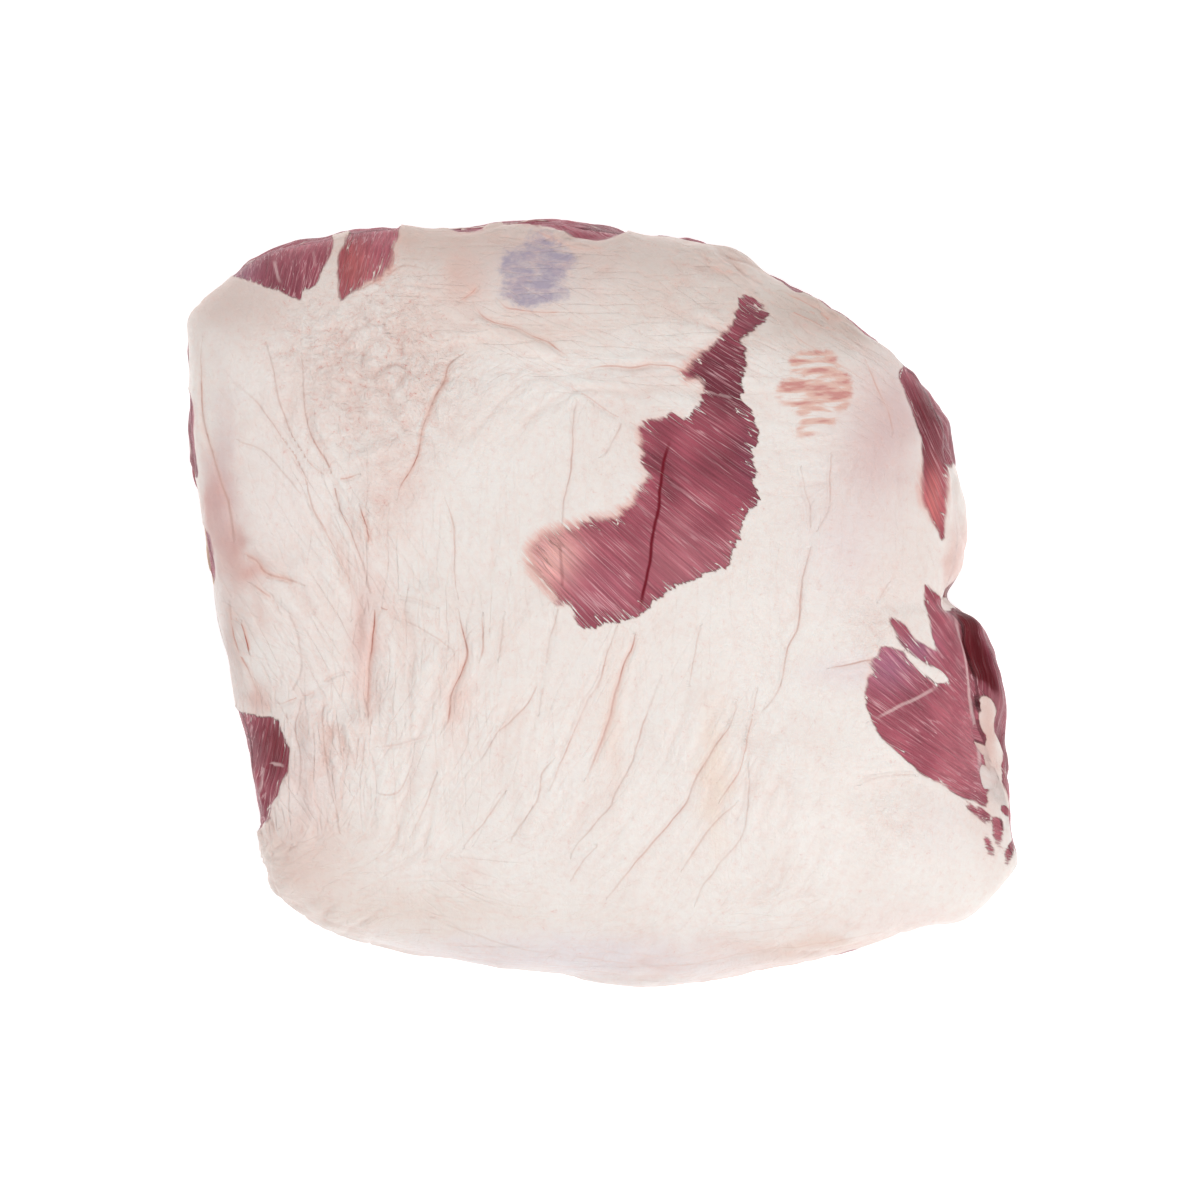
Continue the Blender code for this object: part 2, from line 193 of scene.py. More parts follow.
BACK_RIGHT_WINDOW_MM = (
    (95.8, 74), (97, 69), (98.7, 65), (100.8, 59.2), (102.2, 54.7), (103.2, 50.5),
    (103.2, 33.6), (104.8, 29.8), (106, 26.5), (108.3, 23.4), (109.4, 20.6), (110.3, 24),
    (110.6, 36), (111, 44), (114, 47), (122, 60), (112, 78), (102, 80),
)
BACK_LEFT_WINDOW_MM = (
    (-90, 106), (-91.8, 102), (-95.8, 100), (-96.4, 97.3), (-99.5, 98.6), (-106, 101),
    (-112.5, 103.4), (-120, 107), (-118, 122), (-100, 126), (-89.5, 122), (-86.5, 118),
    (-87, 112),
)
BACK_WINDOW_MM = (
    (-67, 114.5), (-67, 110.5), (-70, 107), (-72.5, 104.4), (-76.5, 102), (-82, 98.3),
    (-83.8, 98.3), (-83.7, 111), (-81.8, 115), (-80, 126), (-62, 126),
)
LEFT_WINDOW_MM = (
    (-126, -30), (-115.5, -35), (-108.6, -36.7), (-107.7, -36.2), (-103.8, -37.5),
    (-102.8, -40.5), (-100.6, -45.5), (-100.3, -52), (-102.2, -56.5), (-103, -61.3),
    (-104.5, -62.3), (-106, -67.7), (-107, -69.5), (-122, -74),
)
EDGE_WINDOWS_MM = (
    ((-135, 67), (-130.8, 64), (-131, 50), (-130, 41), (-134, 39)),
    ((-131, 25), (-125.8, 22), (-123.9, 8), (-128, 5)),
    ((-57, 124), (-50, 119.6), (-38, 119.6), (-34, 124)),
    ((-33, 126), (-31, 120.6), (-22, 119.8), (-13, 118.8), (-8, 117), (-3, 116), (3, 117),
     (8, 119.5), (8, 126)),
    ((57, 107), (59, 102.3), (64, 98.8), (66, 103)),
    ((68, 99), (71, 95.3), (77, 91.6), (80, 96)),
)
# each window's outline, how far its edge frays and how soft its edge is, in mm
WINDOWS = (
    (CENTRE_WINDOW_MM, 1.9, 0.30), (RIGHT_WINDOW_MM, 0.8, 0.35), (RIGHT_FINGER_MM, 0.9, 0.4),
    (BACK_RIGHT_WINDOW_MM, 0.7, 0.35), (BACK_LEFT_WINDOW_MM, 0.8, 0.35),
    (BACK_WINDOW_MM, 1.1, 0.5), (LEFT_WINDOW_MM, 1.2, 0.35),
    *((outline, 0.7, 0.5) for outline in EDGE_WINDOWS_MM),
)
# How pale the bare muscle is: x, y, reach along x and y, and the change there
WINDOW_TONE = 0.55
WINDOW_TONES_MM = (
    (28, 15, 16, 16, 0.12), (40, 72, 11, 11, -0.45), (46, 92, 10, 10, -0.25),
    (46, 47, 9, 9, -0.40), (19, 48, 5, 16, -0.35), (-14, 13, 11, 11, 0.30),
    (106, 55, 18, 18, -0.45), (106, 34, 12, 12, 0.15), (-103, 106, 14, 14, -0.20),
    (-106, -50, 14, 14, -0.20),
)
# Small patches seen near the right-hand edge: x, y, half length, half width, degrees, and
# whether fat lies on lean (1) or lean shows in fat (-1)
PATCHES_MM = (
    (114.4, 24, 23, 3.3, 88, 1), (113.5, 3, 6, 2.6, 70, 1),
    (124.6, -37, 7, 3.0, 97, 1), (126.0, -50, 9, 3.0, 95, 1), (126.8, -66, 10, 3.2, 93, 1),
    (121.6, -32.6, 2.6, 1.3, 95, -1), (127.0, -73, 4.2, 1.3, 97, -1),
    (122.5, -68, 3.0, 1.4, 130, -1), (124.4, -78, 2.4, 0.9, 110, -1),
    (129.2, -67, 2.2, 0.9, 95, -1), (130.6, -80, 3.0, 0.8, 80, -1),
    (119.5, -66.5, 2.2, 0.9, 140, -1),
)
# Thin striped fat over muscle, and a bluish membrane, by their outlines
STRIPES_MM = (
    (61, 79), (68, 80.5), (74, 79.5), (75, 76), (78.5, 73), (80, 69), (79, 64), (75.5, 60),
    (74, 57), (68, 54.5), (62.5, 53.5), (64, 58), (61.5, 62), (57, 64.5), (56.5, 69), (61, 73),
)
MEMBRANE_MM = (
    (-32.5, 109), (-30, 113), (-26, 114), (-21, 117), (-18, 117), (-13, 114.5), (-9.5, 111),
    (-8.5, 109), (-11.5, 106.5), (-12, 103), (-11, 99.5), (-13, 97), (-20, 95), (-26, 94.5),
    (-29, 97), (-32.5, 99.5), (-31, 103), (-32.5, 106.5),
)
# The muscle that lies back behind the right-hand lip, dark with its own maroon and with painted
# shade under the lip
FLAP_MM = (
    (114, 1), (115.5, 0), (118.5, -3.5), (121, -6), (122.8, -11), (125.5, -16.5), (127, -21),
    (128.6, -26), (128.4, -29.5), (126.5, -28), (124.5, -25.5), (122.5, -26), (120.5, -24),
    (118.5, -22), (118, -16.5), (117, -12), (115.5, -5.5), (114.5, -2),
)
# where a window's edge is feathered instead: x, y, reach, fray and softness
FEATHERS_MM = (
    (-14, 15, 12, 2.2, 3.6), (6, 31, 12, 2.6, 1.4), (28, 76, 9, 2.6, 1.6),
    (14, 52, 9, 2.4, 1.2), (36, 88, 9, 2.2, 1.0), (-70, 107, 8, 3.0, 1.6),
    (87, -22, 8, 1.6, 0.8), (104, 36, 9, 0.7, 1.4), (89, 111, 6, 1.0, 0.8),
)

# Creases in the fat: their points, depth, half width and how red they are
CREASES_MM = (
    (((-107, 83), (-104, 70), (-100, 55), (-94, 46), (-89, 41)), 0.5, 1.6, 0.25),
    (((-96, 79), (-95, 65), (-93, 54), (-87, 43), (-84, 30), (-80, 23), (-77, 14), (-73, 1)),
     0.8, 1.5, 0.45),
    (((-117, 70), (-109, 63), (-101, 51), (-95, 41), (-92, 30), (-85, 17), (-80, 4), (-80, -5)),
     0.6, 1.7, 0.2),
    (((-116, 52), (-109, 49), (-104, 44), (-96, 35)), 0.4, 1.5, 0.1),
    (((-87, 39), (-82, 40), (-78, 41)), 0.4, 1.0, 0.45),
    (((-77, 31), (-75, 23), (-75, 18)), 0.8, 1.1, 0.9),
    (((-73, 1), (-73, -11), (-74, -18), (-75, -28), (-74, -41)), 1.5, 1.3, 1.1),
    (((-73, 0), (-69, -2), (-62, -3)), 0.5, 1.2, 0.35),
    (((-64, 2), (-58, 1), (-53, -1)), 0.6, 1.3, 0.25),
    (((-67, -3), (-58, -8), (-48, -15)), 0.35, 1.6, 0.1),
    (((-50, 33), (-48, 27), (-47, 19), (-47, 7), (-46, 2)), 0.7, 1.3, 0.3),
    (((-46, -2), (-44, -10), (-43, -17), (-46, -25), (-48, -30), (-49, -37), (-52, -42)),
     1.4, 1.3, 0.8),
    (((-103, -32), (-96, -30), (-92, -28), (-87, -24), (-82, -22)), 0.7, 1.5, 0.4),
    (((-91, -26), (-89, -31), (-89, -41), (-88, -50), (-86, -63), (-84, -73)), 0.6, 1.6, 0.2),
    (((-96, -31), (-98, -41), (-96, -50), (-97, -60)), 0.6, 1.6, 0.2),
    (((-71, -46), (-64, -45), (-58, -43), (-53, -41)), 0.4, 1.2, 0.2),
    (((-71, -61), (-66, -61), (-63, -58), (-61, -53)), 0.5, 1.3, 0.1),
    (((12, -5), (10, -13), (7, -19), (5, -27), (3, -35), (0, -44), (-3, -52), (-5, -56)),
     1.2, 1.3, 0.9),
    (((5, -8), (2, -16), (-1, -25), (-4, -31), (-7, -37), (-10, -44), (-12, -49), (-17, -60)),
     0.65, 1.4, 0.25),
    (((-13, 3), (-15, -6), (-17, -14), (-18, -21), (-21, -27), (-24, -33), (-29, -38),
      (-34, -42), (-38, -49), (-43, -55)), 0.7, 1.4, 0.25),
    (((-18, -21), (-19, -28), (-20, -35)), 0.4, 1.4, 0.2),
    (((43, -32), (41, -39), (38, -44), (31, -54), (28, -63), (24, -68), (17, -76), (12, -82),
      (6, -89), (2, -94)), 0.8, 1.5, 0.35),
    (((50, -28), (48, -37), (46, -47), (44, -53), (40, -60), (38, -63)), 0.7, 1.4, 0.3),
    (((47, -50), (47, -63), (45, -74), (39, -82), (33, -90), (30, -96)), 0.4, 1.5, 0.1),
    (((43, -64), (36, -71), (30, -79), (26, -85)), 0.6, 1.3, 0.2),
    (((64, 43), (65, 36), (67, 28), (67, 20), (66, 14), (64, 4), (63, -7), (60, -14),
      (57, -26), (54, -32), (51, -35)), 0.75, 1.4, 0.3),
    (((74, 47), (73, 36), (72, 28), (67, 20)), 0.5, 1.3, 0.2),
    (((19, -24), (15, -34), (12, -44), (10, -50), (6, -58), (3, -65), (-1, -69), (-7, -76),
      (-10, -81)), 0.5, 1.5, 0.15),
    (((-38, -4), (-38, -12), (-39, -18)), 0.6, 1.3, 0.3),
    (((-31, -4), (-32, -12), (-33, -18)), 0.6, 1.3, 0.3),
    (((32, -8), (29, -19), (28, -26)), 0.5, 1.4, 0.1),
    (((-15, -50), (-19, -55), (-20, -62), (-24, -68), (-29, -76)), 0.5, 1.4, 0.1),
    (((-31, -61), (-36, -68), (-44, -78)), 0.5, 1.4, 0.1),
    (((-53, -55), (-56, -64), (-61, -74)), 0.4, 1.4, 0.1),
    (((-2, -78), (-6, -83), (-9, -88)), 0.4, 1.2, 0.1),
    (((-45, 79), (-49, 76), (-50, 71), (-54, 65), (-58, 52), (-59, 47), (-64, 38), (-65, 34)),
     1.0, 1.2, 1.1),
    (((-41, 96), (-38, 92), (-34, 90), (-29, 89), (-23, 86), (-18, 84), (-14, 81), (-11, 79)),
     1.0, 1.2, 0.6),
    (((-4, 75), (4, 76), (9, 75), (15, 76), (22, 76), (28, 74)), 0.6, 1.0, 0.45),
    (((-33, 97), (-29, 94), (-20, 93), (-12, 93)), 0.5, 1.1, 0.5),
    (((-45, 97), (-42, 99), (-40, 101)), 0.5, 0.8, 0.9),
    (((-26, 76), (-18, 73), (-8, 68), (0, 63), (7, 59), (13, 56)), 0.5, 1.5, 0.15),
    (((-8, 66), (-9, 55), (-10, 42), (-12, 33), (-13, 23)), 0.5, 1.3, 0.3),
    (((7, 59), (3, 50), (0, 47)), 0.4, 1.2, 0.2),
    (((-22, 118), (-18, 117), (-10, 114), (-4, 113), (2, 114)), 0.8, 1.0, 0.6),
    (((-56, 106), (-63, 108), (-70, 104), (-78, 100)), 0.5, 1.4, 0.3),
    (((88, -18), (83, -19), (73, -21)), 0.6, 1.0, 0.3),
    (((100, -55), (92, -55), (83, -58)), 0.6, 1.3, 0.1),
    (((89, 1), (92, 6)), 0.5, 0.9, 0.4),
    (((-55, -101), (-39, -107), (-26, -111), (-13, -113), (12, -116), (32, -115), (51, -111),
      (70, -108), (89, -105)), 0.5, 1.4, 0.02),
    (((31, 113), (35, 108), (39, 106), (46, 105), (53, 104)), 0.7, 1.0, 0.55),
    (((36, 110), (42, 108), (50, 105)), 0.5, 0.9, 0.5),
    (((46, 109), (49, 107), (54, 103)), 0.4, 0.9, 0.6),
    (((22, 117), (30, 115), (40, 111), (48, 107)), 0.5, 1.0, 0.3),
    (((50, 98), (57, 96), (63, 93), (70, 89), (76, 87), (81, 83), (84, 80)), 0.7, 1.0, 0.5),
    (((54, 97), (63, 95), (71, 91), (78, 87), (86, 79)), 0.6, 0.8, 0.5),
    (((57, 100), (67, 95), (75, 90), (80, 86), (88, 77)), 0.6, 0.8, 0.6),
    (((60, 87), (73, 78), (83, 72)), 0.3, 1.0, 0.2),
    (((84, 78), (88, 70), (92, 62), (93, 54)), 0.4, 1.2, 0.35),
    (((-128, 84), (-128, 65), (-126, 52), (-123, 43), (-120, 33), (-118, 23), (-116, 15)),
     1.1, 1.2, 0.5),
    (((-117, 17), (-111, 14), (-108, 10), (-103, 8), (-96, 6)), 1.2, 1.4, 1.0),
    (((-112, 6), (-106, 2), (-101, -4)), 0.5, 1.4, 0.4),
    (((-115, -6), (-114, -11), (-113, -16)), 0.6, 0.9, 1.3),
    (((-119, 0), (-116, -14), (-111, -27), (-107, -34)), 0.7, 1.1, 0.5),
    (((-103, 2), (-98, -8), (-96, -20), (-99, -28)), 0.4, 1.6, 0.15),
)
# Ridges stand up instead: their points, height and half width
RIDGES_MM = (
    (((-94, -32), (-93, -42), (-92, -51), (-93, -63), (-90, -72)), 0.9, 1.8),
    (((-43, 92), (-36, 87), (-27, 85), (-18, 80), (-9, 75)), 1.2, 2.6),
    (((0, 78), (9, 78), (18, 78), (27, 77)), 0.5, 1.3),
    (((-32, 95), (-19, 94), (-11, 94)), 0.5, 1.6),
    (((-72, 4), (-71, -12), (-72, -30)), 0.6, 2.4),
    (((-45, -8), (-41, -22), (-46, -38)), 0.5, 2.2),
    (((-115, 20), (-111, 18), (-106, 14), (-100, 11)), 1.1, 1.6),
    (((-84, 43), (-79, 46), (-71, 49), (-64, 50), (-60, 49)), 0.7, 1.5),
    (((-123, 20), (-121, 6), (-117, -10), (-113, -24)), 0.9, 1.8),
    (((-104, 74), (-101, 62), (-97, 50), (-91, 42)), 0.4, 2.0),
    (((-91, 72), (-91, 60), (-88, 48), (-84, 36), (-78, 22)), 0.5, 2.0),
    (((-20, 119), (-12, 116), (-5, 115)), 0.6, 1.1),
)
# Slits in the bare muscle, given as the creases are
SLITS_MM = (
    (((22.3, 57.8), (20.6, 48.3), (18.8, 36.5), (17, 23.4), (15.2, 11.6), (13.5, 3.3),
      (12.3, -2.3), (11.5, -8)), 0.5, 1.0, 1.6),
    (((-13.5, 22.8), (-13, 12), (-12.6, 0.4)), 0.4, 0.8, 0.7),
    (((40, 84), (43, 78), (42, 72), (37, 69)), 0.4, 0.8, 0.5),
)
# Pale tendons and the rim of the right-hand lip, given in the same way
TENDONS_MM = (
    (((113.8, 3), (114.2, -2), (115.6, -8), (116.6, -14), (117.4, -20), (118.4, -28),
      (119.6, -36), (121, -45), (122.4, -57), (123.3, -62)), -0.5, 0.9, -0.6),
    (((86, -38), (95, -33), (102, -30), (110, -26)), -0.3, 0.8, -0.55),
    (((-105, 111), (-104, 106), (-102.5, 102)), -0.2, 0.8, -0.5),
    (((-93, 114.5), (-92, 110), (-91.5, 106.5)), -0.2, 0.7, -0.35),
    (((-107.5, -51), (-105, -51.8), (-101.5, -52)), -0.5, 1.0, -0.6),
    (((-108.6, -50), (-108.9, -56), (-109.2, -62)), -0.4, 1.1, -0.45),
    (((31, 68), (37, 67), (43, 65)), -0.3, 0.8, -0.45),
)

# Which way the fat's wrinkles run and how strong they are: x, y, degrees from +X, strength
WRINKLES_MM = (
    (-110, 80, 110, 0.2), (-112, 30, 120, 0.2), (-90, 40, 118, 0.7), (-98, 0, 130, 0.7),
    (-70, 60, 105, 0.3), (-75, 10, 100, 0.9), (-60, -10, 92, 0.7), (-90, -50, 95, 1.2),
    (-80, -95, 20, 0.6), (-60, -60, 75, 0.5), (-40, 20, 95, 0.35), (-45, -25, 80, 0.8),
    (-20, -20, 75, 0.45), (-10, -50, 65, 0.45), (15, -30, 70, 0.35), (35, -55, 62, 0.4),
    (20, -85, 55, 0.25), (50, -70, 80, 0.3), (75, -80, 60, 0.15), (60, 0, 88, 0.35),
    (85, -10, 60, 0.2), (-10, 40, 95, 0.25), (-30, 60, 50, 0.35), (-20, 85, -15, 0.8),
    (20, 90, -8, 0.6), (30, 108, -28, 0.9), (60, 95, -34, 0.9), (85, 72, -42, 0.7),
    (70, 60, 0, 0.2), (95, 40, 80, 0.3), (0, -112, -4, 0.7), (60, -108, 10, 0.7),
    (-40, -104, -16, 0.7), (-10, -95, 30, 0.35), (100, -85, 70, 0.25), (-60, 112, 0, 0.8),
    (-10, 116, 2, 0.9), (112, 15, 90, 0.4),
)
WRINKLE_REACH_MM = 17.0
# The folds' and the wrinkles' pitch, length and seed, and how many steps trace each way along them
FOLDS_MM = (7.5, 26, 13)
FINE_FOLDS_MM = (3.6, 12, 14)
FLOW_STEPS = 7
# How many directions the finish's own wrinkles are drawn in
WRINKLE_DIRECTIONS = 6

# Lumpy, granular fat: x, y, reach and strength
GRAINY_MM = (
    (-92, 84, 18, 0.7), (-72, 78, 20, 1.0), (-56, 72, 14, 0.9), (-66, 48, 12, 0.7),
    (-86, 56, 12, 0.6), (30, 100, 16, 0.3), (95, -70, 10, 0.5), (88, -8, 10, 0.6),
    (-72, 28, 10, 0.7), (-62, 100, 12, 0.6), (-90, -45, 14, 0.5),
)

# Tints laid over the cream fat; those along the back rim and the long strips down the creases are
# partly painted shade, where the surface rolls away from the light and in the valleys: x, y, reach
# along x and y, 8-bit colour, strength
FAT_TINTS_AND_SHADE_MM = (
    (-60, 118, 90, 12, (204, 182, 172), 0.75), (30, 112, 60, 11, (204, 188, 180), 0.7),
    (80, 92, 26, 12, (190, 172, 162), 0.8), (-118, 98, 20, 15, (206, 184, 176), 0.7),
    (-44, 104, 7, 10, (216, 168, 152), 0.6), (-18, 78, 20, 6, (246, 242, 238), 0.7),
    (-74, 74, 24, 18, (240, 220, 212), 0.4), (-50, 92, 22, 10, (232, 210, 200), 0.35),
    (-20, 106, 22, 13, (206, 188, 186), 0.5),
    (-20, 86, 20, 8, (226, 206, 196), 0.6), (20, 96, 26, 10, (214, 198, 188), 0.4),
    (88, 50, 13, 24, (218, 191, 188), 0.9), (96, 62, 8, 12, (205, 172, 172), 0.5),
    (78, 20, 14, 18, (226, 210, 208), 0.7), (-60, -100, 40, 8, (222, 202, 190), 0.4),
    (-96, -84, 18, 18, (222, 196, 184), 0.6), (-95, -55, 10, 30, (226, 204, 200), 0.5),
    (-119, 20, 7, 30, (220, 196, 190), 0.5), (-123, 33, 4, 12, (206, 150, 142), 0.9),
    (-119, 18, 3.5, 10, (206, 148, 138), 0.8), (-113, 9, 5, 4, (210, 156, 146), 0.8),
    (-109, -3, 3.5, 8, (224, 188, 178), 0.4), (-111, -31, 4, 5, (212, 168, 158), 0.7),
    (-118, -14, 3, 16, (200, 178, 172), 0.7),
    (-121, 40, 4, 30, (206, 184, 184), 0.5), (0, -114, 90, 7, (220, 210, 214), 0.7),
    (60, -112, 40, 6, (226, 206, 196), 0.6), (70, -108, 14, 3, (226, 196, 180), 0.5),
    (100, -102, 22, 5, (230, 212, 206), 0.6), (-75, -12, 5, 22, (232, 196, 188), 0.75),
    (-47, -30, 4, 14, (234, 202, 192), 0.6), (-66, 36, 10, 14, (234, 208, 200), 0.5),
    (36, -56, 5, 22, (236, 212, 194), 0.55), (4, -40, 4, 24, (232, 208, 196), 0.5),
    (80, -22, 14, 5, (226, 212, 214), 0.6), (108, -70, 10, 12, (226, 214, 210), 0.6),
    (-100, 30, 16, 40, (236, 220, 216), 0.35), (100, 10, 10, 18, (228, 214, 208), 0.6),
    (124, -45, 5, 26, (214, 178, 168), 0.9), (114, 14, 3, 16, (226, 190, 182), 0.8),
    (60, 95, 20, 10, (198, 180, 170), 0.5), (-90, 70, 14, 12, (228, 208, 200), 0.3),
)

# Fibres of the bare muscles fan out from a pole in mm, at a radius
CENTRE_FAN = ((-262, 260), 360)
RIGHT_FAN = ((172, -92), 86)

# The muscles at the sides lie in three storeys: middle height and how many go round
STOREYS = ((13.0, 7), (40.0, 8), (67.0, 7))
PERIMETER_MM = 786.0
STOREY_STRETCH = 0.6
SEAM_WANDER_MM = 7.0
# and each is made of smaller bundles
BUNDLES = ((5, 16), (16, 18), (27, 17), (38, 18), (49, 17), (60, 18), (71, 17))
BUNDLE_STRETCH = 0.45

# Layers of unevenness: each one's amount, the pitch of its bumps in mm, its seed and its octaves
SEAM_DRIFT = ((12, 47, 51, 1), (5, 19, 53, 2))
SEAM_RISE = ((5, 31, 52, 1), (2.5, 13, 54, 2))
SEAM_WIDTH = ((1.5, 23, 61, 1), (0.5, 7, 63, 1))
THIN_SEAM_WIDTH = ((0.9, 17, 64, 1), (0.3, 6, 65, 1))
FAT_SWELLS = ((0.5, 34, 11, 1), (0.3, 13, 12, 1))
SIDE_SWELLS = ((1.1, 16, 81, 1), (0.4, 5, 82, 2))
CAP_EDGE = ((3.0, 24, 62, 2),)
WALL_EDGE = ((3.0, 10, 97, 2),)
LEAN_MOTTLE = ((0.22, 11, 71, 2),)
FAT_MOTTLE = ((1.0, 14, 31, 2),)
FOLD_CALM = ((1.0, 21, 19, 2),)
LUMP_WARP = ((2.5, 9, 18, 1),)
LUMPS = ((1.0, 5.5, 15, 2),)
TINT_EDGE = ((2.0, 7, 41, 1),)
TINT_SHAKE = (((2.4, 6.5, 143, 2),), ((2.4, 6.5, 153, 2),))
CREASE_SHAKE = (((0.3, 5.0, 163, 2),), ((0.3, 5.0, 173, 2),))
SLOW_PITCHES_MM = (8, 14, 4.5)
SLOW_SEED = 91

# Heights in mm between which something comes in on the way up (or down, if the first is higher)
WINDOW_RISE_MM = (36, 46)
PATCH_RISE_MM = (28, 38)
CREASE_RISE_MM = (45, 55)
FAT_TINT_RISE_MM = (40, 52)
LEAN_TINT_RISE_MM = (47, 58)
FLAP_RISE_MM = (43, 52)
SEAM_TINT_FALL_MM = (62, 40)
FOOT_FALL_MM = (42, 26)
THIN_FAT_HEIGHT_MM = 50
WINDOW_GRAIN_HEIGHT_MM = 52

# The blade bone's sawn section on the left face (along the block, up), its middle, and how it
# runs in. Its face is laid against the wall, which is found in steps from the block's reach.
BONE_SECTION_MM = (
    (-33, -2), (-28, -5.5), (-12, -6.5), (8, -5.5), (26, -4.5), (33, -1), (32, 3), (24, 5),
    (10, 5.5), (4, 8), (2, 15), (-1.5, 18), (-5.5, 16), (-6.5, 9), (-10, 5.5), (-24, 4.5),
    (-31, 3),
)
BONE_Y_MM = 16.0
BONE_Z_MM = 36.0
BONE_LENGTH = 0.095
BONE_START_X = -0.125
BONE_INSETS = (0.0003, 0.0006, 0.0008, 0.0008)
BONE_ROUNDING = 0.0004
LEFT_WALL_REACH = 0.128
WALL_STEPS = 12

# Tints laid over the lean where the camera sees it, two of them painted shade in the right-hand
# crevice and the hole in the seam fat: x, y, reach along x and y, colour, strength
LEAN_TINTS_AND_SHADE_MM = (
    # the first is painted shade in the crevice at the right-hand notch
    (115, 3, 3.0, 4, (84, 10, 20), 0.92), (126, -20, 3.0, 10, (104, 28, 46), 0.7),
    # the first is painted shade in the dark hole in the seam fat
    (121.6, -32.6, 3, 2.4, (70, 12, 24), 0.95), (104, 62, 8, 12, (106, 34, 44), 0.9),
    (108, 48, 4, 9, (118, 50, 60), 0.85), (107, 32, 4, 9, (190, 96, 98), 0.9),
    (-104, 108, 12, 10, (142, 80, 90), 0.6), (-116, 106, 6, 6, (150, 108, 126), 0.6),
    (-80, 108, 6, 10, (182, 96, 92), 0.7), (-104, -44, 6, 12, (122, 46, 54), 0.85),
    (40, 74, 9, 9, (128, 58, 72), 0.85), (48, 92, 6, 6, (132, 62, 76), 0.8),
    (47, 46, 4, 12, (138, 70, 88), 0.5), (-15, 14, 8, 9, (238, 184, 176), 0.95),
    (0, 5, 14, 9, (184, 108, 122), 0.6), (30, 12, 16, 12, (176, 110, 120), 0.5),
    (92, -20, 9, 8, (160, 106, 134), 0.6), (129, -16, 2.4, 12, (140, 84, 94), 0.35),
    (107, 34, 3, 10, (200, 116, 112), 0.6), (112, 36, 3, 10, (160, 88, 100), 0.6),
    (103, -14, 5, 5, (158, 108, 136), 0.5), (129.5, -33, 3, 6, (190, 144, 148), 0.3),
    (60, 99, 7, 5, (126, 98, 92), 0.9), (73, 92, 6, 5, (122, 96, 92), 0.9),
)

# 8-bit colours of the surface, kept in the mesh
FAT_CREAM = (235, 228, 223)
SEAM_FAT = (222, 198, 188)
# painted shade laid in the fat's hollows
HOLLOW_SHADE_PINK = (222, 178, 164)
LEAN_DARK = (112, 52, 62)
LEAN_MIDDLE = (162, 82, 96)
LEAN_PALE = (196, 120, 129)
# the flap's own dark maroon, darkened further as painted shade under the right-hand lip
FLAP_DARK_AND_SHADE = (90, 0, 14)
# 8-bit colours that the finishes lay over it
PAINTS = {
    "thread": (228, 182, 186), "slit": (116, 14, 34), "tendon": (230, 200, 198),
    # "valley" is painted shade in the crumpled fat's hollows
    "blotch": (228, 190, 180), "valley": (230, 192, 180), "vein": (206, 132, 122),
    # "crease" is the creases' thin tan line, partly their own tan and partly painted shade in them
    "crease": (210, 174, 157), "blush": (232, 188, 174), "red crease": (190, 104, 88),
    "salmon": (222, 174, 158), "stripe": (200, 130, 126), "membrane": (164, 152, 172),
    # the fold paint is painted shade in the fine wrinkles' grooves
    "fold shade": (230, 194, 182), "rim": (226, 168, 156),
    "bone stain": (214, 170, 150), "marrow": (150, 62, 54), "pale marrow": (186, 104, 88),
    "bone wall": (226, 196, 172),
}


def linear(colour):
    """The linear values of an 8-bit colour."""
    share = np.asarray(colour, dtype=float) / 255
    return np.where(share <= 0.04045, share / 12.92, ((share + 0.055) / 1.055) ** 2.4)


def by_side(azimuth, sides):
    """A value for each azimuth that passes smoothly through the four sides' values."""
    along = np.cos(azimuth)
    across = np.sin(azimuth)
    across_share = np.where(across > 0, sides["back"], sides["front"]) * across**2
    return np.where(along > 0, sides["right"], sides["left"]) * along**2 + across_share


def smooth_step(low, high, value):
    """A value's smooth passage from low to high, as 0 to 1; low may be the higher of the two."""
    share = np.clip((value - low) / (high - low), 0, 1)
    return share * share * (3 - 2 * share)


def bump(value, middle, spread):
    """One at the middle, falling smoothly to nothing a few spreads away."""
    return np.exp(-(((value - middle) / spread) ** 2))


def spot_share(spots, x, y, reach_x, reach_y):
    """One at a place, falling smoothly to nothing a few reaches away."""
    return bump(spots[:, 0], x, reach_x) * bump(spots[:, 1], y, reach_y)


def grain_share(spots):
    """How lumpy and granular the fat is at each spot."""
    return sum(amount * spot_share(spots, x, y, reach, reach) for x, y, reach, amount in GRAINY_MM)


def rounded_line(points, steps, closed=True):
    """A Catmull-Rom curve through the points, as an array of x and y."""
    line = np.array(points, dtype=float)
    if closed:
        before, after, beyond = (np.roll(line, shift, axis=0) for shift in (1, -1, -2))
    else:
        padded = np.vstack([2 * line[0] - line[1], line, 2 * line[-1] - line[-2]])
        before, line, after, beyond = padded[:-3], padded[1:-2], padded[2:-1], padded[3:]
    shares = np.arange(steps)[:, None, None] / steps
    curve = 0.5 * (
        2 * line
        + (after - before) * shares
        + (2 * before - 5 * line + 4 * after - beyond) * shares**2
        + (3 * line - before - 3 * after + beyond) * shares**3
    )
    curve = curve.transpose(1, 0, 2).reshape(-1, 2)
    return curve if closed else np.vstack([curve, points[-1]])


def unevenness(points, pitch, seed, octaves=1):
    """Smooth seeded noise from -1 to 1 at each point, its bumps about a pitch apart."""
    total = np.zeros(len(points))
    for octave in range(octaves):
        lattice = np.random.default_rng(seed + octave).uniform(-1, 1, (LATTICE,) * 3)
        cell = points * (2**octave / pitch)
        low = np.floor(cell).astype(int)
        share = cell - low
        share = share * share * (3 - 2 * share)
        for corner in itertools.product((0, 1), repeat=3):
            weight = np.prod(np.where(corner, share, 1 - share), axis=1)
            index = (low + corner) % LATTICE
            total += weight * lattice[index[:, 0], index[:, 1], index[:, 2]] / 2**octave
    return total


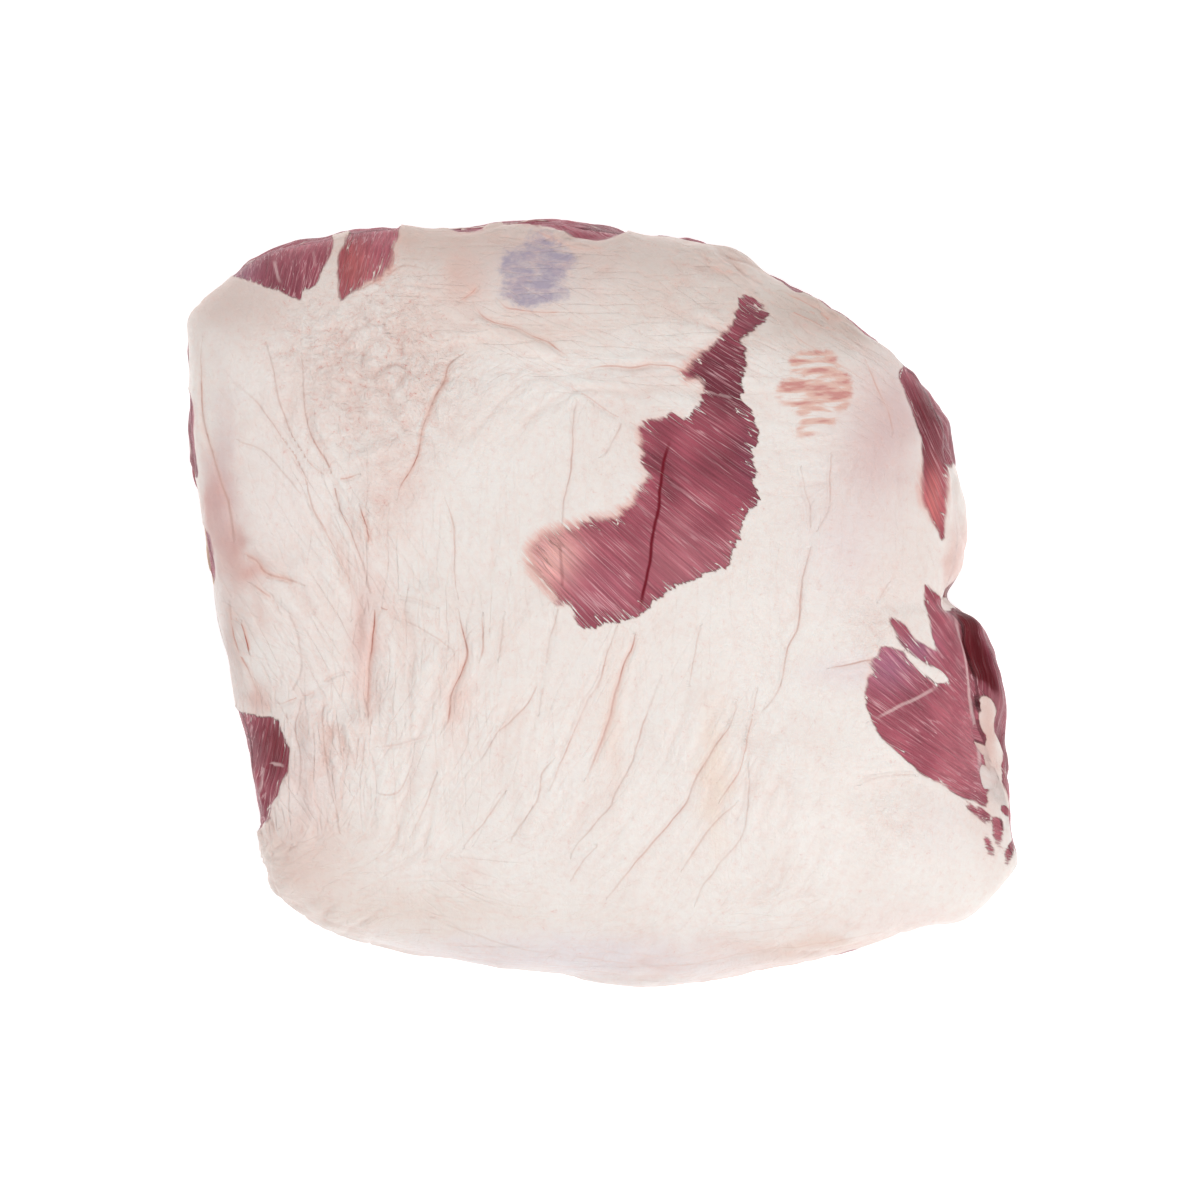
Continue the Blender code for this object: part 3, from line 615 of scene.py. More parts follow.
def layered(places, layers):
    """The sum of layers of unevenness."""
    return sum(
        amount * unevenness(places, pitch, seed, octaves) for amount, pitch, seed, octaves in layers
    )


def shaken(spots, places, moves):
    """The spots moved about unevenly, so that what is drawn there has ragged edges."""
    return spots + np.stack([layered(places, move) for move in moves], axis=1)


def line_distance(spots, line):
    """Each spot's signed distance from a polyline (plus on its left), and its share along it."""
    starts, ends = line[:-1], line[1:]
    along = ends - starts
    lengths = np.maximum(np.hypot(*along.T), 1e-9)
    travelled = np.concatenate([[0], np.cumsum(lengths)])
    offset = spots[:, None, :] - starts
    share = np.clip(np.sum(offset * along, axis=2) / lengths**2, 0, 1)
    away = np.hypot(*np.moveaxis(offset - share[..., None] * along, 2, 0))
    nearest = np.argmin(away, axis=1)
    rows = np.arange(len(spots))
    step_x, step_y = along[nearest].T
    offset_x, offset_y = offset[rows, nearest].T
    on_left = step_x * offset_y >= step_y * offset_x
    distance = away[rows, nearest] * np.where(on_left, 1, -1)
    progress = travelled[nearest] + share[rows, nearest] * lengths[nearest]
    return distance, progress / travelled[-1]


def near_line(spots, line, reach):
    """The numbers of the spots that lie in the line's box, grown by the reach."""
    low, high = line.min(axis=0) - reach, line.max(axis=0) + reach
    return np.flatnonzero(np.all((spots > low) & (spots < high), axis=1))


def outline_distance(spots, points, reach=12.0):
    """Each spot's distance from a closed outline, negative inside it."""
    ring = rounded_line(points, 3)
    ring = np.vstack([ring, ring[:1]])
    result = np.full(len(spots), FAR)
    chosen = near_line(spots, ring, reach)
    for part in np.array_split(chosen, max(1, len(chosen) // BATCH)):
        place = spots[part]
        away = np.abs(line_distance(place, ring)[0])
        x0, y0 = ring[:-1].T
        x1, y1 = ring[1:].T
        x, y = place[:, :1], place[:, 1:]
        crosses = (y0 > y) != (y1 > y)
        rise = np.where(y1 == y0, 1e-9, y1 - y0)
        inside = np.sum(crosses & (x < x0 + (y - y0) * (x1 - x0) / rise), axis=1) % 2 == 1
        result[part] = np.where(inside, -away, away)
    return result


def outline_reach(azimuth):
    """How far the block reaches from its middle in each direction, seen from above."""
    ring = rounded_line(OUTLINE_MM, OUTLINE_STEPS) * MM
    directions = np.arctan2(ring[:, 1], ring[:, 0])
    order = np.argsort(directions)
    reaches = np.hypot(ring[:, 0], ring[:, 1])[order]
    return np.interp(azimuth, directions[order], reaches, period=2 * math.pi)


def dome_height(x, y):
    """The fat side's height before its edges are rounded down."""
    along, across = (x - CROWN_X) / HALF_LENGTH, (y - CROWN_Y) / HALF_WIDTH
    ways = {"right": along, "left": -along, "back": across, "front": -across}
    return HEIGHT - sum(FALLS[side] * np.maximum(way, 0) ** 2 for side, way in ways.items())


def valley(x, y, start, end, depth, half_width):
    """The depth of a valley that follows a straight line from start to end."""
    start, end = (np.array(point) * MM for point in (start, end))
    along = end - start
    share = ((x - start[0]) * along[0] + (y - start[1]) * along[1]) / (along @ along)
    share = np.clip(share, 0, 1)
    away = np.hypot(x - start[0] - share * along[0], y - start[1] - share * along[1])
    return depth * MM * bump(away, 0, half_width * MM)


def swells(x, y, z):
    """Slow uneven swells of the meat, from three crossing waves."""
    turn = 2 * math.pi / SWELL_PITCH
    wave = np.sin(turn * (x + 0.6 * y)) + np.sin(turn * (0.7 * y - 0.4 * x + z) + 1.3)
    return SWELL * (wave + np.sin(turn * (0.5 * x - 1.1 * y + 0.8 * z) + 2.1))


def block_surface(azimuth, level):
    """Points of the block's surface and the way that it faces there.

    The level runs from 0 at the crown over 1 at the rim and 2 at the foot to 3 under the middle.
    """
    upper = level < 1.5
    edge = np.where(upper, by_side(azimuth, EDGES), by_side(azimuth, UNDER_EDGES))
    corner = 2 ** (-1 / edge)
    on_side = (level > 1) & (level < 2)
    rise = corner * np.abs(3 - 2 * level)
    spread = corner * np.where(upper, level, 3 - level)
    spread = np.where(on_side, (1 - np.clip(rise, 0, 1) ** edge) ** (1 / edge), spread)
    rise = np.where(on_side, rise, (1 - np.clip(spread, 0, 1) ** edge) ** (1 / edge))
    reach = outline_reach(azimuth)
    waist = by_side(azimuth, WAISTS)
    waist_middle = sum(WAISTS.values()) / 4
    waist = waist_middle + (waist - waist_middle) * spread
    x = spread * reach * np.cos(azimuth)
    y = spread * reach * np.sin(azimuth)
    above = dome_height(x, y) - waist
    z = np.where(upper, waist + above * rise, waist - (waist + BASE_CUT) * rise)
    ledge = LEDGE_DEPTH * bump(azimuth, LEDGE_AZIMUTH, LEDGE_SPREAD)
    ledge = ledge * smooth_step(LEDGE_HEIGHT - LEDGE_SOFTNESS, LEDGE_HEIGHT, z)
    crevice = CREVICE_DEPTH * bump(azimuth, CREVICE_AZIMUTH, CREVICE_SPREAD)
    below = smooth_step(CREVICE_TOP, CREVICE_TOP - CREVICE_SOFTNESS, z)
    crevice = crevice * (CREVICE_ABOVE + (1 - CREVICE_ABOVE) * below)
    inward = (ledge + crevice) * smooth_step(0.55, 0.95, spread)
    x = x - inward * np.cos(azimuth)
    y = y - inward * np.sin(azimuth)
    relief = swells(x, y, z) * (1 - spread**6)
    relief = relief - sum(valley(x, y, *line) for line in VALLEYS_MM)
    z = z + np.where(upper, relief * smooth_step(0, 0.3, rise), 0)
    outward = spread ** (edge - 1) / reach
    upward = rise ** (edge - 1) / np.where(upper, above, -(waist + BASE_CUT))
    facing = np.stack([outward * np.cos(azimuth), outward * np.sin(azimuth), upward], axis=1)
    facing /= np.linalg.norm(facing, axis=1)[:, None]
    return np.stack([x, y, np.maximum(z, 0)], axis=1), facing


def seen_from_above(points):
    """Where the camera sees each point, in mm on the photograph's plane."""
    distance = FRAME_WIDTH * bpy.context.scene.pork_stage.lens / SENSOR
    scale = distance / (distance + PLANE_HEIGHT - points[:, 2:])
    middle = np.array([CAMERA_X, CAMERA_Y])
    return (middle + (points[:, :2] - middle) * scale) / MM


def wrinkle_flow(spots):
    """The direction of the fat's wrinkles at each spot (as an angle), and their strength."""
    guides = np.array(WRINKLES_MM, dtype=float)
    away = np.hypot(spots[:, :1] - guides[:, 0], spots[:, 1:] - guides[:, 1])
    weight = np.exp(-((away / WRINKLE_REACH_MM) ** 2)) + 1e-6 / (1 + away)
    turn = np.radians(2 * guides[:, 2])
    angle = 0.5 * np.arctan2(weight @ np.sin(turn), weight @ np.cos(turn))
    return angle, (weight @ guides[:, 3]) / weight.sum(axis=1)


def flowing_wrinkles(points, pitch, reach, seed):
    """Noise drawn out along the wrinkles' flow, so that it makes long uneven folds."""
    spots = points[:, :2]
    angle, strength = wrinkle_flow(spots)
    first = np.stack([np.cos(angle), np.sin(angle)], axis=1)
    total = unevenness(points, pitch, seed)
    weights = 1.0
    stride = reach / FLOW_STEPS
    for way in (1, -1):
        place = points.copy()
        heading = way * first
        for step in range(1, FLOW_STEPS + 1):
            place[:, :2] += heading * stride
            angle, _ = wrinkle_flow(place[:, :2])
            turned = np.stack([np.cos(angle), np.sin(angle)], axis=1)
            turned *= np.sign(np.sum(turned * heading, axis=1))[:, None]
            heading = turned
            weight = 1 - step / (FLOW_STEPS + 1)
            total += weight * unevenness(place, pitch, seed)
            weights += weight
    return total / math.sqrt(weights), strength


def crease_field(spots, creases):
    """Relief of the creases in mm, and for the shader the nearest one's distance and redness.

    A lap of skin stands up along each crease, on one side and the other in turn. Where two
    creases come near each other the shader draws neither.
    """
    relief = np.zeros(len(spots))
    signed = np.full(len(spots), FAR)
    gate = np.full(len(spots), FAR)
    rival = np.full(len(spots), FAR)
    ink = np.zeros(len(spots))
    for number, (points, depth, half_width, redness) in enumerate(creases):
        line = rounded_line(points, 4, closed=False)
        chosen = near_line(spots, line, 5 * half_width)
        if len(chosen) == 0:
            continue
        place = spots[chosen]
        waver = 0.35 * np.sin(place[:, 1] * 0.31 + number) + 0.2 * np.sin(place[:, 0] * 0.53)
        distance, share = line_distance(place, line)
        ends = np.minimum(share, 1 - share)
        at_end = (share < 1e-6) | (share > 1 - 1e-6)
        distance = distance + 0.5 * waver * np.where(at_end, 0, 1)
        taper = smooth_step(0, 0.22, ends)
        lap = 1 if number % 2 else -1
        groove = 0.75 * np.exp(-np.abs(distance) / (0.8 * half_width))
        shoulder = 0.45 * bump(distance, 1.9 * half_width * lap, 1.4 * half_width)
        relief[chosen] += depth * taper * (shoulder - groove)
        nearer = np.abs(distance) < gate[chosen]
        picked = chosen[nearer]
        rival[chosen] = np.minimum(rival[chosen], np.maximum(gate[chosen], np.abs(distance)))
        signed[picked] = distance[nearer]
        gate[picked] = np.abs(distance[nearer])
        ink[picked] = (redness * taper)[nearer]
    gate[rival - gate < 1.1] = FAR
    return relief, np.stack([signed, gate, ink], axis=1)


def ridge_field(spots):
    """Relief of the ridges in mm."""
    relief = np.zeros(len(spots))
    for points, height, half_width in RIDGES_MM:
        line = rounded_line(points, 4, closed=False)
        chosen = near_line(spots, line, 4 * half_width)
        distance, share = line_distance(spots[chosen], line)
        taper = smooth_step(0, 0.2, np.minimum(share, 1 - share))
        relief[chosen] += height * taper * bump(distance, 0, half_width)
    return relief


def window_field(spots):
    """Distance from the bare places (negative inside), and how frayed and soft their edges are."""
    bare = np.full(len(spots), FAR)
    fray = np.ones(len(spots))
    soft = np.full(len(spots), 0.4)
    for outline, window_fray, window_soft in WINDOWS:
        distance = outline_distance(spots, outline)
        nearer = distance < bare
        fray[nearer] = window_fray
        soft[nearer] = window_soft
        bare = np.minimum(bare, distance)
    for x, y, reach, feather_fray, feather_soft in FEATHERS_MM:
        share = spot_share(spots, x, y, reach, reach)
        fray += (feather_fray - fray) * share
        soft += (feather_soft - soft) * share
    return bare, fray, soft


def patch_distance(spots, x, y, half_length, half_width, degrees):
    """Each spot's rough distance from a turned ellipse, negative inside it."""
    turn = math.radians(degrees)
    offset = spots - np.array([x, y])
    along = offset @ np.array([math.cos(turn), math.sin(turn)])
    across = offset @ np.array([-math.sin(turn), math.cos(turn)])
    return (np.hypot(along / half_length, across / half_width) - 1) * half_width


def with_patches(spots, height, bare, slant):
    """The bare distance after the small patches near the edge are laid over it."""
    high = smooth_step(*PATCH_RISE_MM, height)
    for *place, kind in PATCHES_MM:
        distance = patch_distance(spots, *place) * slant
        distance = np.where(high > 0, distance + (1 - high) * 8, FAR)
        bare = np.maximum(bare, -distance) if kind > 0 else np.minimum(bare, distance)
    return bare


def fan_grain(spots, pole, radius):
    """Along and across coordinates, in mm, of fibres that fan out from a pole."""
    x, y = (spots - np.array(pole)).T
    return np.stack([np.hypot(x, y), np.arctan2(y, x) * radius])


def window_grain(spots):
    """Along and across coordinates of the bare muscles' fibres."""
    x, y = spots.T
    grain = fan_grain(spots, *CENTRE_FAN)
    for chosen, other in (
        (x > 80, fan_grain(spots, *RIGHT_FAN)),
        ((x > 80) & (y > 10), np.stack([y - 0.45 * x, x + 0.45 * y])),
        (x < -55, np.stack([y + 0.2 * x, x - 0.2 * y])),
    ):
        grain = np.where(chosen, other, grain)
    return grain


def tinted(colour, spots, tints, shown):
    """The colours after soft-edged tints are laid over them where the camera sees them."""
    for *place, tint, strength in tints:
        share = (strength * spot_share(spots, *place) * shown)[:, None]
        colour += (linear(tint) - colour) * share
    return colour


def fat_colours(spots, places, hollow_shade):
    """The fat's linear colour at each spot, from its tints (partly painted shade), painted shade in
    its hollows and a slow mottle.
    """
    height = places[:, 2]
    colour = np.tile(linear(FAT_CREAM), (len(spots), 1))
    low = smooth_step(*SEAM_TINT_FALL_MM, height)[:, None]
    colour += (linear(SEAM_FAT) - colour) * low * 0.6
    shown = smooth_step(*FAT_TINT_RISE_MM, height)
    # tints, partly painted shade along the back rim and down the creases
    colour = tinted(colour, shaken(spots, places, TINT_SHAKE), FAT_TINTS_AND_SHADE_MM, shown)
    colour *= 1 + layered(places, FAT_MOTTLE)[:, None] * np.array([0.015, 0.03, 0.035])
    # painted shade: the hollows between the folds and lumps are pinkened
    share = np.clip(hollow_shade, 0, 1)[:, None] * 0.5
    return colour + (linear(HOLLOW_SHADE_PINK) - colour) * share


def nearest_middles(along, height, middles, stretch):
    """The three smallest distances to the muscles' middles, and which muscle is nearest."""
    across = along[:, None] - middles[:, 0]
    across = (across + PERIMETER_MM / 2) % PERIMETER_MM - PERIMETER_MM / 2
    away = np.hypot(across * stretch, height[:, None] - middles[:, 1])
    nearest = np.argmin(away, axis=1)
    return np.partition(away, 2, axis=1)[:, :3].T, nearest


def spread_middles(storeys, random, jitter):
    """The middles of the muscles that go round the block in storeys."""
    middles = []
    for storey, (level, count) in enumerate(storeys):
        for step in range(count):
            place = (step + 0.5 * (storey % 2) + random.uniform(-0.3, 0.3)) / count
            height = level + random.uniform(-jitter, jitter)
            middles.append((place * PERIMETER_MM - PERIMETER_MM / 2, height))
    return np.array(middles)


def muscles(azimuth, places):
    """The muscles at the sides: the fat in their seams, the furrows, and each one's tone."""
    around, up = azimuth * PERIMETER_MM / (2 * math.pi), places[:, 2]
    along = around + layered(places, SEAM_DRIFT)
    height = up - SEAM_WANDER_MM * np.sin(3 * azimuth + 0.7) + layered(places, SEAM_RISE)
    random = np.random.default_rng(8)
    middles = spread_middles(STOREYS, random, 4)
    (first, second, third), nearest = nearest_middles(along, height, middles, STOREY_STRETCH)
    seam = (second - first) / 2
    width = 0.7 + layered(places, SEAM_WIDTH) + 3.2 * bump(third, first, 6)
    veins = np.maximum(width, -0.4) - seam
    small = spread_middles(BUNDLES, random, 3)
    (first, second, _), bundle = nearest_middles(along, height, small, BUNDLE_STRETCH)
    thin = (second - first) / 2
    veins = np.maximum(veins, 0.25 + layered(places, THIN_SEAM_WIDTH) - thin)
    tilt = random.uniform(-0.45, 0.45, len(middles))[nearest]
    tone = random.uniform(0, 1, len(middles))[nearest]
    tone = 0.75 * tone + 0.25 * random.uniform(0, 1, len(small))[bundle]
    grain_along = around * np.cos(tilt) + up * np.sin(tilt)
    grain = np.stack([grain_along, up * np.cos(tilt) - around * np.sin(tilt)])
    sawn = bump(np.abs(azimuth), math.pi, math.radians(42))
    grain[0] *= 1 + 7 * smooth_step(0.3, 0.6, sawn)
    furrows = bump(seam, 0, 3.6) + 0.3 * bump(thin, 0, 1.6)
    return veins, furrows, tone, grain


def inner_shell(azimuth, share, depth_mm):
    """Points under the cap, from its edge at share 0 to the middle at share 1."""
    end = by_side(azimuth, CAP_ENDS)
    level = end * (1 - share)
    points, facing = block_surface(azimuth, level)
    depth = depth_mm * MM * smooth_step(0, 0.25, share)
    return points - facing * depth[:, None]


def shell_mesh(rows, with_top):
    """Upright grids round a square, closed by a grid on top or gathered at a pole, and below."""
    mesh = bmesh.new()
    for quarter in range(4):
        turn = Matrix.Rotation(quarter * math.pi / 2, 4, "Z")
        stand = Matrix.Translation((1, 0, 0)) @ Matrix.Rotation(math.pi / 2, 4, "Y")
        lie = Matrix.Rotation(math.pi / 2, 4, "Z")
        bmesh.ops.create_grid(
            mesh, x_segments=COLUMNS, y_segments=rows, size=1, matrix=turn @ stand @ lie
        )
    if with_top:
        lift = Matrix.Translation((0, 0, 1))
        bmesh.ops.create_grid(
            mesh, x_segments=COLUMNS, y_segments=COLUMNS, size=1, matrix=lift
        )
    bmesh.ops.remove_doubles(mesh, verts=mesh.verts[:], dist=WELD)
    poles = [-1] if with_top else [-1, 1]
    for pole in poles:
        ring = [vert for vert in mesh.verts if abs(vert.co.z - pole) < WELD]
        bmesh.ops.pointmerge(mesh, verts=ring, merge_co=(0, 0, pole))
    bmesh.ops.recalc_face_normals(mesh, faces=mesh.faces[:])
    return mesh


def to_object(mesh, name, material):
    """Turns a finished bmesh into a smooth-shaded piece with its material."""
    data = bpy.data.meshes.new(name)
    mesh.to_mesh(data)
    mesh.free()
    data.shade_smooth()
    data.materials.append(material)
    piece = bpy.data.objects.new(name, data)
    bpy.context.scene.collection.objects.link(piece)
    return piece


def vertex_places(data):
    """The places of a mesh's vertices, one row each."""
    places = np.empty(len(data.vertices) * 3)
    data.vertices.foreach_get("co", places)
    return places.reshape(-1, 3)


def set_places(data, places):
    data.vertices.foreach_set("co", places.astype(np.float32).ravel())
    data.update()


def set_attribute(data, name, values):
    """Stores a number, vector or colour for each vertex, by the shape of the values."""
    kinds = {1: ("FLOAT", "value"), 3: ("FLOAT_VECTOR", "vector"), 4: ("FLOAT_COLOR", "color")}
    width = 1 if values.ndim == 1 else values.shape[1]
    kind, field = kinds[width]
    attribute = data.attributes.new(name, kind, "POINT")
    attribute.data.foreach_set(field, values.astype(np.float32).ravel())


def with_alpha(colour):
    """The colours with a full alpha, as a colour attribute stores them."""
    return np.hstack([colour, np.ones((len(colour), 1))])


def bare_field(cover, places, spots, steep):
    """Where lean (negative) and fat (positive) show, in mm from the nearest change, and more.

    Gives also how the edge frays, how soft it is, the furrows, the lean's tone and its grain.
    """
    azimuth = np.arctan2(places[:, 1], places[:, 0])
    veins, furrows, tone, grain = muscles(azimuth, places)
    window, fray, soft = window_field(spots)
    slant = 1 + 2.2 * steep
    rough = steep * layered(places, WALL_EDGE)
    window = window * slant + rough
    fray *= 1 - 0.65 * steep
    height = places[:, 2]
    seen = smooth_step(*WINDOW_RISE_MM, height)
    window = np.where(seen > 0, window + (1 - seen) * 10, FAR)
    veins = np.minimum(veins, 4 - cover) - 6 * seen * smooth_step(1, -2, window)
    bare = np.maximum(veins, np.minimum(cover, window))
    bare = with_patches(spots + 0.5 * rough[:, None], height + 3 * rough, bare, slant)
    at_side = (cover < 1) & (window > 3)
    fray = np.where(at_side, 0.7, fray)
    soft = np.where(at_side, 0.5, soft)
    in_window = (window < 1.5) & (height > WINDOW_GRAIN_HEIGHT_MM)
    on_top = ((cover > 5) | in_window) & (steep < 0.6)
    grain = np.where(on_top, window_grain(spots), grain)
    grain = np.stack([*grain, np.where(on_top, 0.22, 1.0) * height], axis=1)
    tone = 0.15 + 0.5 * tone
    share = smooth_step(0.6, 0.2, steep) * on_top
    tone = tone + (window_tone(spots) - tone) * share
    return bare, fray, soft, furrows, tone, grain


def lean_colours(tone, places):
    """The lean's linear colour from its tone, which runs from 0, dark, to 1, pale."""
    dark, middle, pale = (linear(colour) for colour in (LEAN_DARK, LEAN_MIDDLE, LEAN_PALE))
    tone = np.clip(tone + layered(places, LEAN_MOTTLE), 0, 1)[:, None]
    low = dark + (middle - dark) * np.clip(tone * 2, 0, 1)
    return low + (pale - middle) * np.clip(tone * 2 - 1, 0, 1)


def window_tone(spots):
    """How pale the bare muscle is in the windows of the cap."""
    return WINDOW_TONE + sum(
        change * spot_share(spots, *place) for *place, change in WINDOW_TONES_MM
    )


class Finish:
    """A material whose nodes are added one call at a time."""

    def __init__(self, name):
        self.material = bpy.data.materials.new(name)
        self.material.use_nodes = True
        self.nodes = self.material.node_tree.nodes
        self.links = self.material.node_tree.links
        self.shader = self.nodes["Principled BSDF"]

    def put(self, socket, value):
        """Links a socket to another's output, or sets its own value."""
        if isinstance(value, bpy.types.NodeSocket):
            self.links.new(value, socket)
        elif value is not None:
            socket.default_value = value

    def fill(self, made, **values):
        """Sets or links a node's sockets by name; an underscore stands for a space."""
        for name, value in values.items():
            self.put(made.inputs[name.replace("_", " ")], value)
        return made

    def node(self, kind, inputs=(), output=0, **settings):
        """Adds a node with its settings and its inputs in order, and gives one of its outputs."""
        made = self.nodes.new("ShaderNode" + kind)
        for name, value in settings.items():
            setattr(made, name, value)
        for place, value in enumerate(inputs):
            self.put(made.inputs[place], value)
        return made.outputs[output]

    def attribute(self, name, output="Fac"):
        return self.node("Attribute", attribute_name=name, output=output)

    def axes(self, name):
        """The X, Y and Z of an attribute that is a vector."""
        return self.node("SeparateXYZ", (self.attribute(name, "Vector"),)).node.outputs

    def object_place(self):
        """The place on the piece, in mm."""
        return self.stretch(self.node("TexCoord", output="Object"), (1 / MM, 1 / MM, 1 / MM))

    def math(self, operation, *values):
        return self.node("Math", values, operation=operation)

    def times(self, first, *others):
        for other in others:
            first = self.math("MULTIPLY", first, other)
        return first

    def scaled(self, value, factor, start):
        """The value times a factor, plus a start."""
        return self.math("MULTIPLY_ADD", value, factor, start)

    def off_middle(self, noise):
        """How far a noise is from its middle value, so that its middle draws lines."""
        return self.math("ABSOLUTE", self.math("SUBTRACT", noise, 0.5))

    def stretch(self, vector, factors):
        """A vector or colour times another, or times a number that varies."""
        return self.node("VectorMath", (vector, factors), operation="MULTIPLY")

    def noise(self, vector, scale=1.0, detail=2.0, roughness=0.5, distortion=0.0):
        made = self.fill(
            self.nodes.new("ShaderNodeTexNoise"),
            Vector=vector,
            Scale=scale,
            Detail=detail,
            Roughness=roughness,
            Distortion=distortion,
        )
        return made.outputs["Fac"]

    def fade(self, value, low, high, to_low=0.0, to_high=1.0):
        """The value's smooth passage from low to high, as to_low to to_high."""
        inputs = (value, low, high, to_low, to_high)
        return self.node("MapRange", inputs, interpolation_type="SMOOTHSTEP")

    def mix(self, share, first, second):
        """A colour between two, each of them linear values or another node's output."""
        made = self.nodes.new("ShaderNodeMix")
        made.data_type = "RGBA"
        self.put(made.inputs["Factor"], share)
        for place, colour in (("A", first), ("B", second)):
            socket = next(s for s in made.inputs if s.name == place and s.type == "RGBA")
            if not isinstance(colour, bpy.types.NodeSocket):
                colour = (*colour, 1)
            self.put(socket, colour)
        return next(s for s in made.outputs if s.type == "RGBA")

    def paint(self, share, under, name):
        """The colour under it, with a share of a named paint laid over."""
        return self.mix(share, under, linear(PAINTS[name]))

    def relief(self, height, strength, distance):
        """Turns the surface's normals by a height, in units of the distance."""
        made = self.nodes.new("ShaderNodeBump")
        self.fill(made, Strength=strength, Distance=distance, Height=height)
        self.fill(self.shader, Normal=made.outputs["Normal"])


def lean_finish(finish, grain, slow, line, near):
    """The lean's colour and relief: bundles, fine lines and pale threads along the grain."""
    bundles = finish.noise(finish.stretch(grain, (0.03, 0.30, 0.25)), detail=2)
    fibres = finish.noise(finish.stretch(grain, (0.028, 1.25, 0.9)), detail=3, roughness=0.75)
    threads = finish.noise(finish.stretch(grain, (0.022, 0.75, 0.5)), detail=2)
    tone = finish.times(
        finish.fade(bundles, 0.3, 0.7, 0.94, 1.06), finish.fade(fibres, 0.30, 0.70, 0.80, 1.24)
    )
    lean = finish.stretch(finish.attribute("lean_colour", "Color"), tone)
    red = finish.node("SeparateXYZ", (lean,))
    thread_share = finish.times(
        finish.fade(finish.off_middle(threads), 0.03, 0.0),
        finish.fade(slow["X"], -0.4, 0.5, 0.30, 1.0),
        finish.fade(red, 0.06, 0.25),
        0.65,
    )
    lean = finish.paint(thread_share, lean, "thread")
    lean = finish.paint(finish.times(near, finish.fade(line["Z"], 0.3, 1.4)), lean, "slit")
    tendon = finish.times(near, finish.fade(line["Z"], -0.1, -0.9, 0.0, 0.85))
    return finish.paint(tendon, lean, "tendon"), finish.scaled(
        fibres, 0.60, finish.times(bundles, 0.8)
    )


def fine_wrinkles(finish, place):
    """Fine wrinkles' height and the painted shade in their grooves, in directions weighed by how
    nearly they follow the flow.
    """
    flow = finish.attribute("flow", "Vector")
    wrinkles = dip_shade = 0.0
    for step in range(WRINKLE_DIRECTIONS):
        turn = step * math.pi / WRINKLE_DIRECTIONS
        heading = (math.cos(2 * turn), math.sin(2 * turn), 0)
        share = finish.node("VectorMath", (flow, heading), output=1, operation="DOT_PRODUCT")
        share = finish.math("MAXIMUM", share, 0.0)
        turned = finish.node("VectorRotate", (place, None, None, -turn), rotation_type="Z_AXIS")
        drawn = finish.noise(finish.stretch(turned, (0.025, 0.17, 0.12)), detail=2, roughness=0.6)
        drawn = finish.off_middle(drawn)
        dip_shade = finish.scaled(finish.fade(drawn, 0.035, 0.0), share, dip_shade)
        wrinkles = finish.scaled(finish.fade(drawn, 0.0, 0.055), share, wrinkles)
    return wrinkles, dip_shade


def see_through(finish, fat, place, mottle, slow, thin):
    """The fat's colour where it is thin over striped muscle or is a bluish membrane."""
    waved = finish.node("CombineXYZ", (0.0, finish.times(slow["Y"], 2.5), 0.0))
    waved = finish.node("VectorMath", (place, waved), operation="ADD")
    stripes = finish.noise(finish.stretch(waved, (0.06, 0.40, 0.3)), detail=2)
    inside = finish.scaled(mottle, 4.0, finish.math("SUBTRACT", thin["X"], 2.0))
    inside = finish.fade(inside, 1.4, -0.8)
    for low, high, name in ((0.36, 0.50, "salmon"), (0.50, 0.64, "stripe")):
        share = finish.times(finish.fade(stripes, low, high, 0.0, 0.75), inside)
        fat = finish.paint(share, fat, name)
    veil = finish.noise(finish.stretch(place, (0.16, 0.28, 0.2)), detail=4, roughness=0.65)
    inside = finish.scaled(mottle, 7.0, finish.math("SUBTRACT", thin["Y"], 3.5))
    inside = finish.fade(inside, 1.8, -2.2, 0.0, 0.85)
    share = finish.times(inside, finish.fade(veil, 0.36, 0.60, 0.40, 1.0))
    return finish.paint(share, fat, "membrane")


